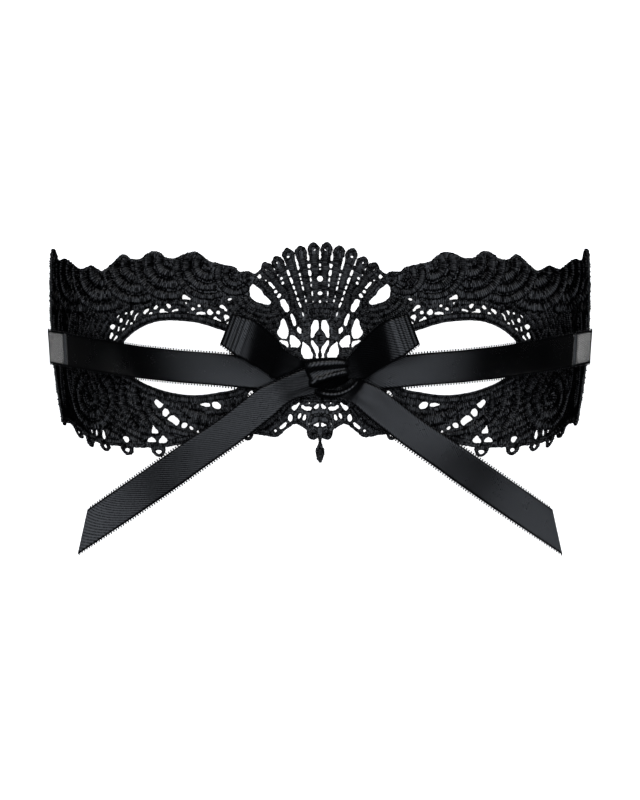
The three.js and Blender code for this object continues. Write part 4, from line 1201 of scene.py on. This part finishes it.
def edge_loops(name, strips):
    """Tiny thread loops along both edges of the strips."""
    points, faces = [], []
    for sheet, _ in strips:
        for edge, inner in ((sheet[:, 0], sheet[:, 1]), (sheet[:, -1], sheet[:, -2])):
            way = way_along(edge)
            at = np.arange(FIRST_LOOP, way[-1] - LAST_LOOP, LOOP_PITCH)
            place = read_off(at, way, edge)
            out = unit(place - read_off(at, way, inner))
            along = directions(place, False)
            up = np.cross(out, along)
            place = place + out * PICOT_OUT
            for p, o, a, n in zip(place, out, along, up):
                base = len(points)
                points += [p + o * x + a * y for x, y in PICOT_SHAPE]
                points += [p + (o + n) * PICOT_THICKNESS, p + (o - n) * PICOT_THICKNESS]
                for k in range(6):
                    here, there = base + k, base + (k + 1) % 6
                    faces += [(here, there, base + 6), (there, here, base + 7)]
    points = np.array(points)
    made = mesh_piece(name, points * MM, faces, points[:, :2])
    pick(made)
    bpy.ops.object.mode_set(mode='EDIT')
    turn_outwards()
    return made


for side, name, inside in ((-1, 'ribbon_left', [core]), (1, 'ribbon_right', [])):
    start, neck = TAIL_STARTS[side], LOOP_NECKS[side]
    loop = matched([neck[0]] + LOOP_UPPER + [neck[2]], [neck[1]] + LOOP_LOWER + [neck[3]])
    fold_way = way_along((loop[0] + loop[1]) / 2)[LOOP_FOLD * PAIR_STEPS]
    tail = matched(start[0] + TAIL_UPPER, start[1] + TAIL_LOWER)
    strips = [
        satin_strip(*strap_edges(STRAP_ROOTS[side]), side, strap_wave, side),
        satin_strip(*loop, side, loop_wave, side, LOOP_START),
        satin_strip(*tail, side, tail_wave, -side, TAIL_START),
    ]
    cloth, edge = woven(f'{name}_satin', strips), edge_loops(f'{name}_edge', strips)
    for piece in (cloth, edge):
        hand_over(piece, satin, name)

# The knot: the right ribbon once round the middle, creased into a rim, a rolled fold and a
# hollow, from which its tail comes out over a lip. Each station along it has its own places for
# these, in the order in which knot_wrap names them.
KNOT_RIM = [[0, 2.2], [-0.15, 4.0], [0, 5.4], [0.15, 6.4], [0.35, 6.95], [0.8, 7.32], [1.5, 7.5],
            [2.2, 7.5], [2.75, 7.25], [3.2, 6.75], [3.5, 6.3]]
KNOT_ROLL = [[1.35, 6.05], [0.95, 6.2], [0.5, 6.55], [0.0, 6.7], [-0.4, 6.5], [-0.8, 6.0], [-1.1, 5.2],
             [-1.4, 4.4]]
KNOT_LIP = [[0.8, 4.2], [0.5, 5.6], [0.25, 6.5], [-0.15, 6.95], [-0.7, 6.9], [-1.2, 6.3], [-1.6, 5.2],
            [-1.7, 4.0]]
KNOT_STATIONS = [
    [-4.7, 11.4, 1.0, -3.9, 4.6, -1.2, 2.6, 3.8, 1.9], [-3.6, 11.9, 1.0, -2.5, 4.9, 0.6, 2.2, 3.6, 0.2],
    [-0.6, 12.4, 0.95, 0.2, 6.1, 3.2, 1.8, 2.2, 0], [2.6, 12.6, 0.9, 3.2, 7.1, 6.3, 2.1, 1.8, 0],
    [5.4, 12.6, 0.8, 5.8, 7.8, 9.2, 3.4, 1.8, 0], [7.8, 12.2, 0.65, 8.1, 8.2, 11.3, 5.4, 2.6, 0.2],
    [8.9, 11.6, 0.6, 9.2, 8.2, 12.0, 6.6, 3.0, 1.9],
]
KNOT_LINES = 64
KNOT_STEP = 0.45
KNOT_START = 300


def spread(line, count):
    """The same line with this many points."""
    return read_off(np.linspace(0, len(line) - 1, count), np.arange(len(line)), line)


def knot_wrap():
    rows = []
    for rim_x, rim, squeeze, roll_x, roll, lip_x, lip, deep, drop in KNOT_STATIONS:
        profile = [[rim_x, rim - y * squeeze, z - drop] for y, z in KNOT_RIM]
        profile += [[roll_x, roll + y, z - drop] for y, z in KNOT_ROLL]
        profile.append([(roll_x + lip_x * 2) / 3, lip + 1.1, deep - drop])
        profile += [[lip_x, lip + y, z - drop] for y, z in KNOT_LIP]
        rows.append(spread(flowing(profile, KNOT_STEP), KNOT_LINES))
    lines = np.array(rows)
    across = [flowing(lines[:, k], 0.6) for k in range(KNOT_LINES)]
    longest = max(map(len, across))
    sheet = np.array([spread(line, longest) for line in across])
    along = np.arange(KNOT_LINES) * KNOT_STEP + KNOT_START
    return sheet, thread_grid(along, np.linspace(0, RIBBON_WIDTH, longest))


knot = woven('ribbon_right_knot', [knot_wrap()])
hand_over(knot, satin, 'ribbon_right')

low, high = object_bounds()
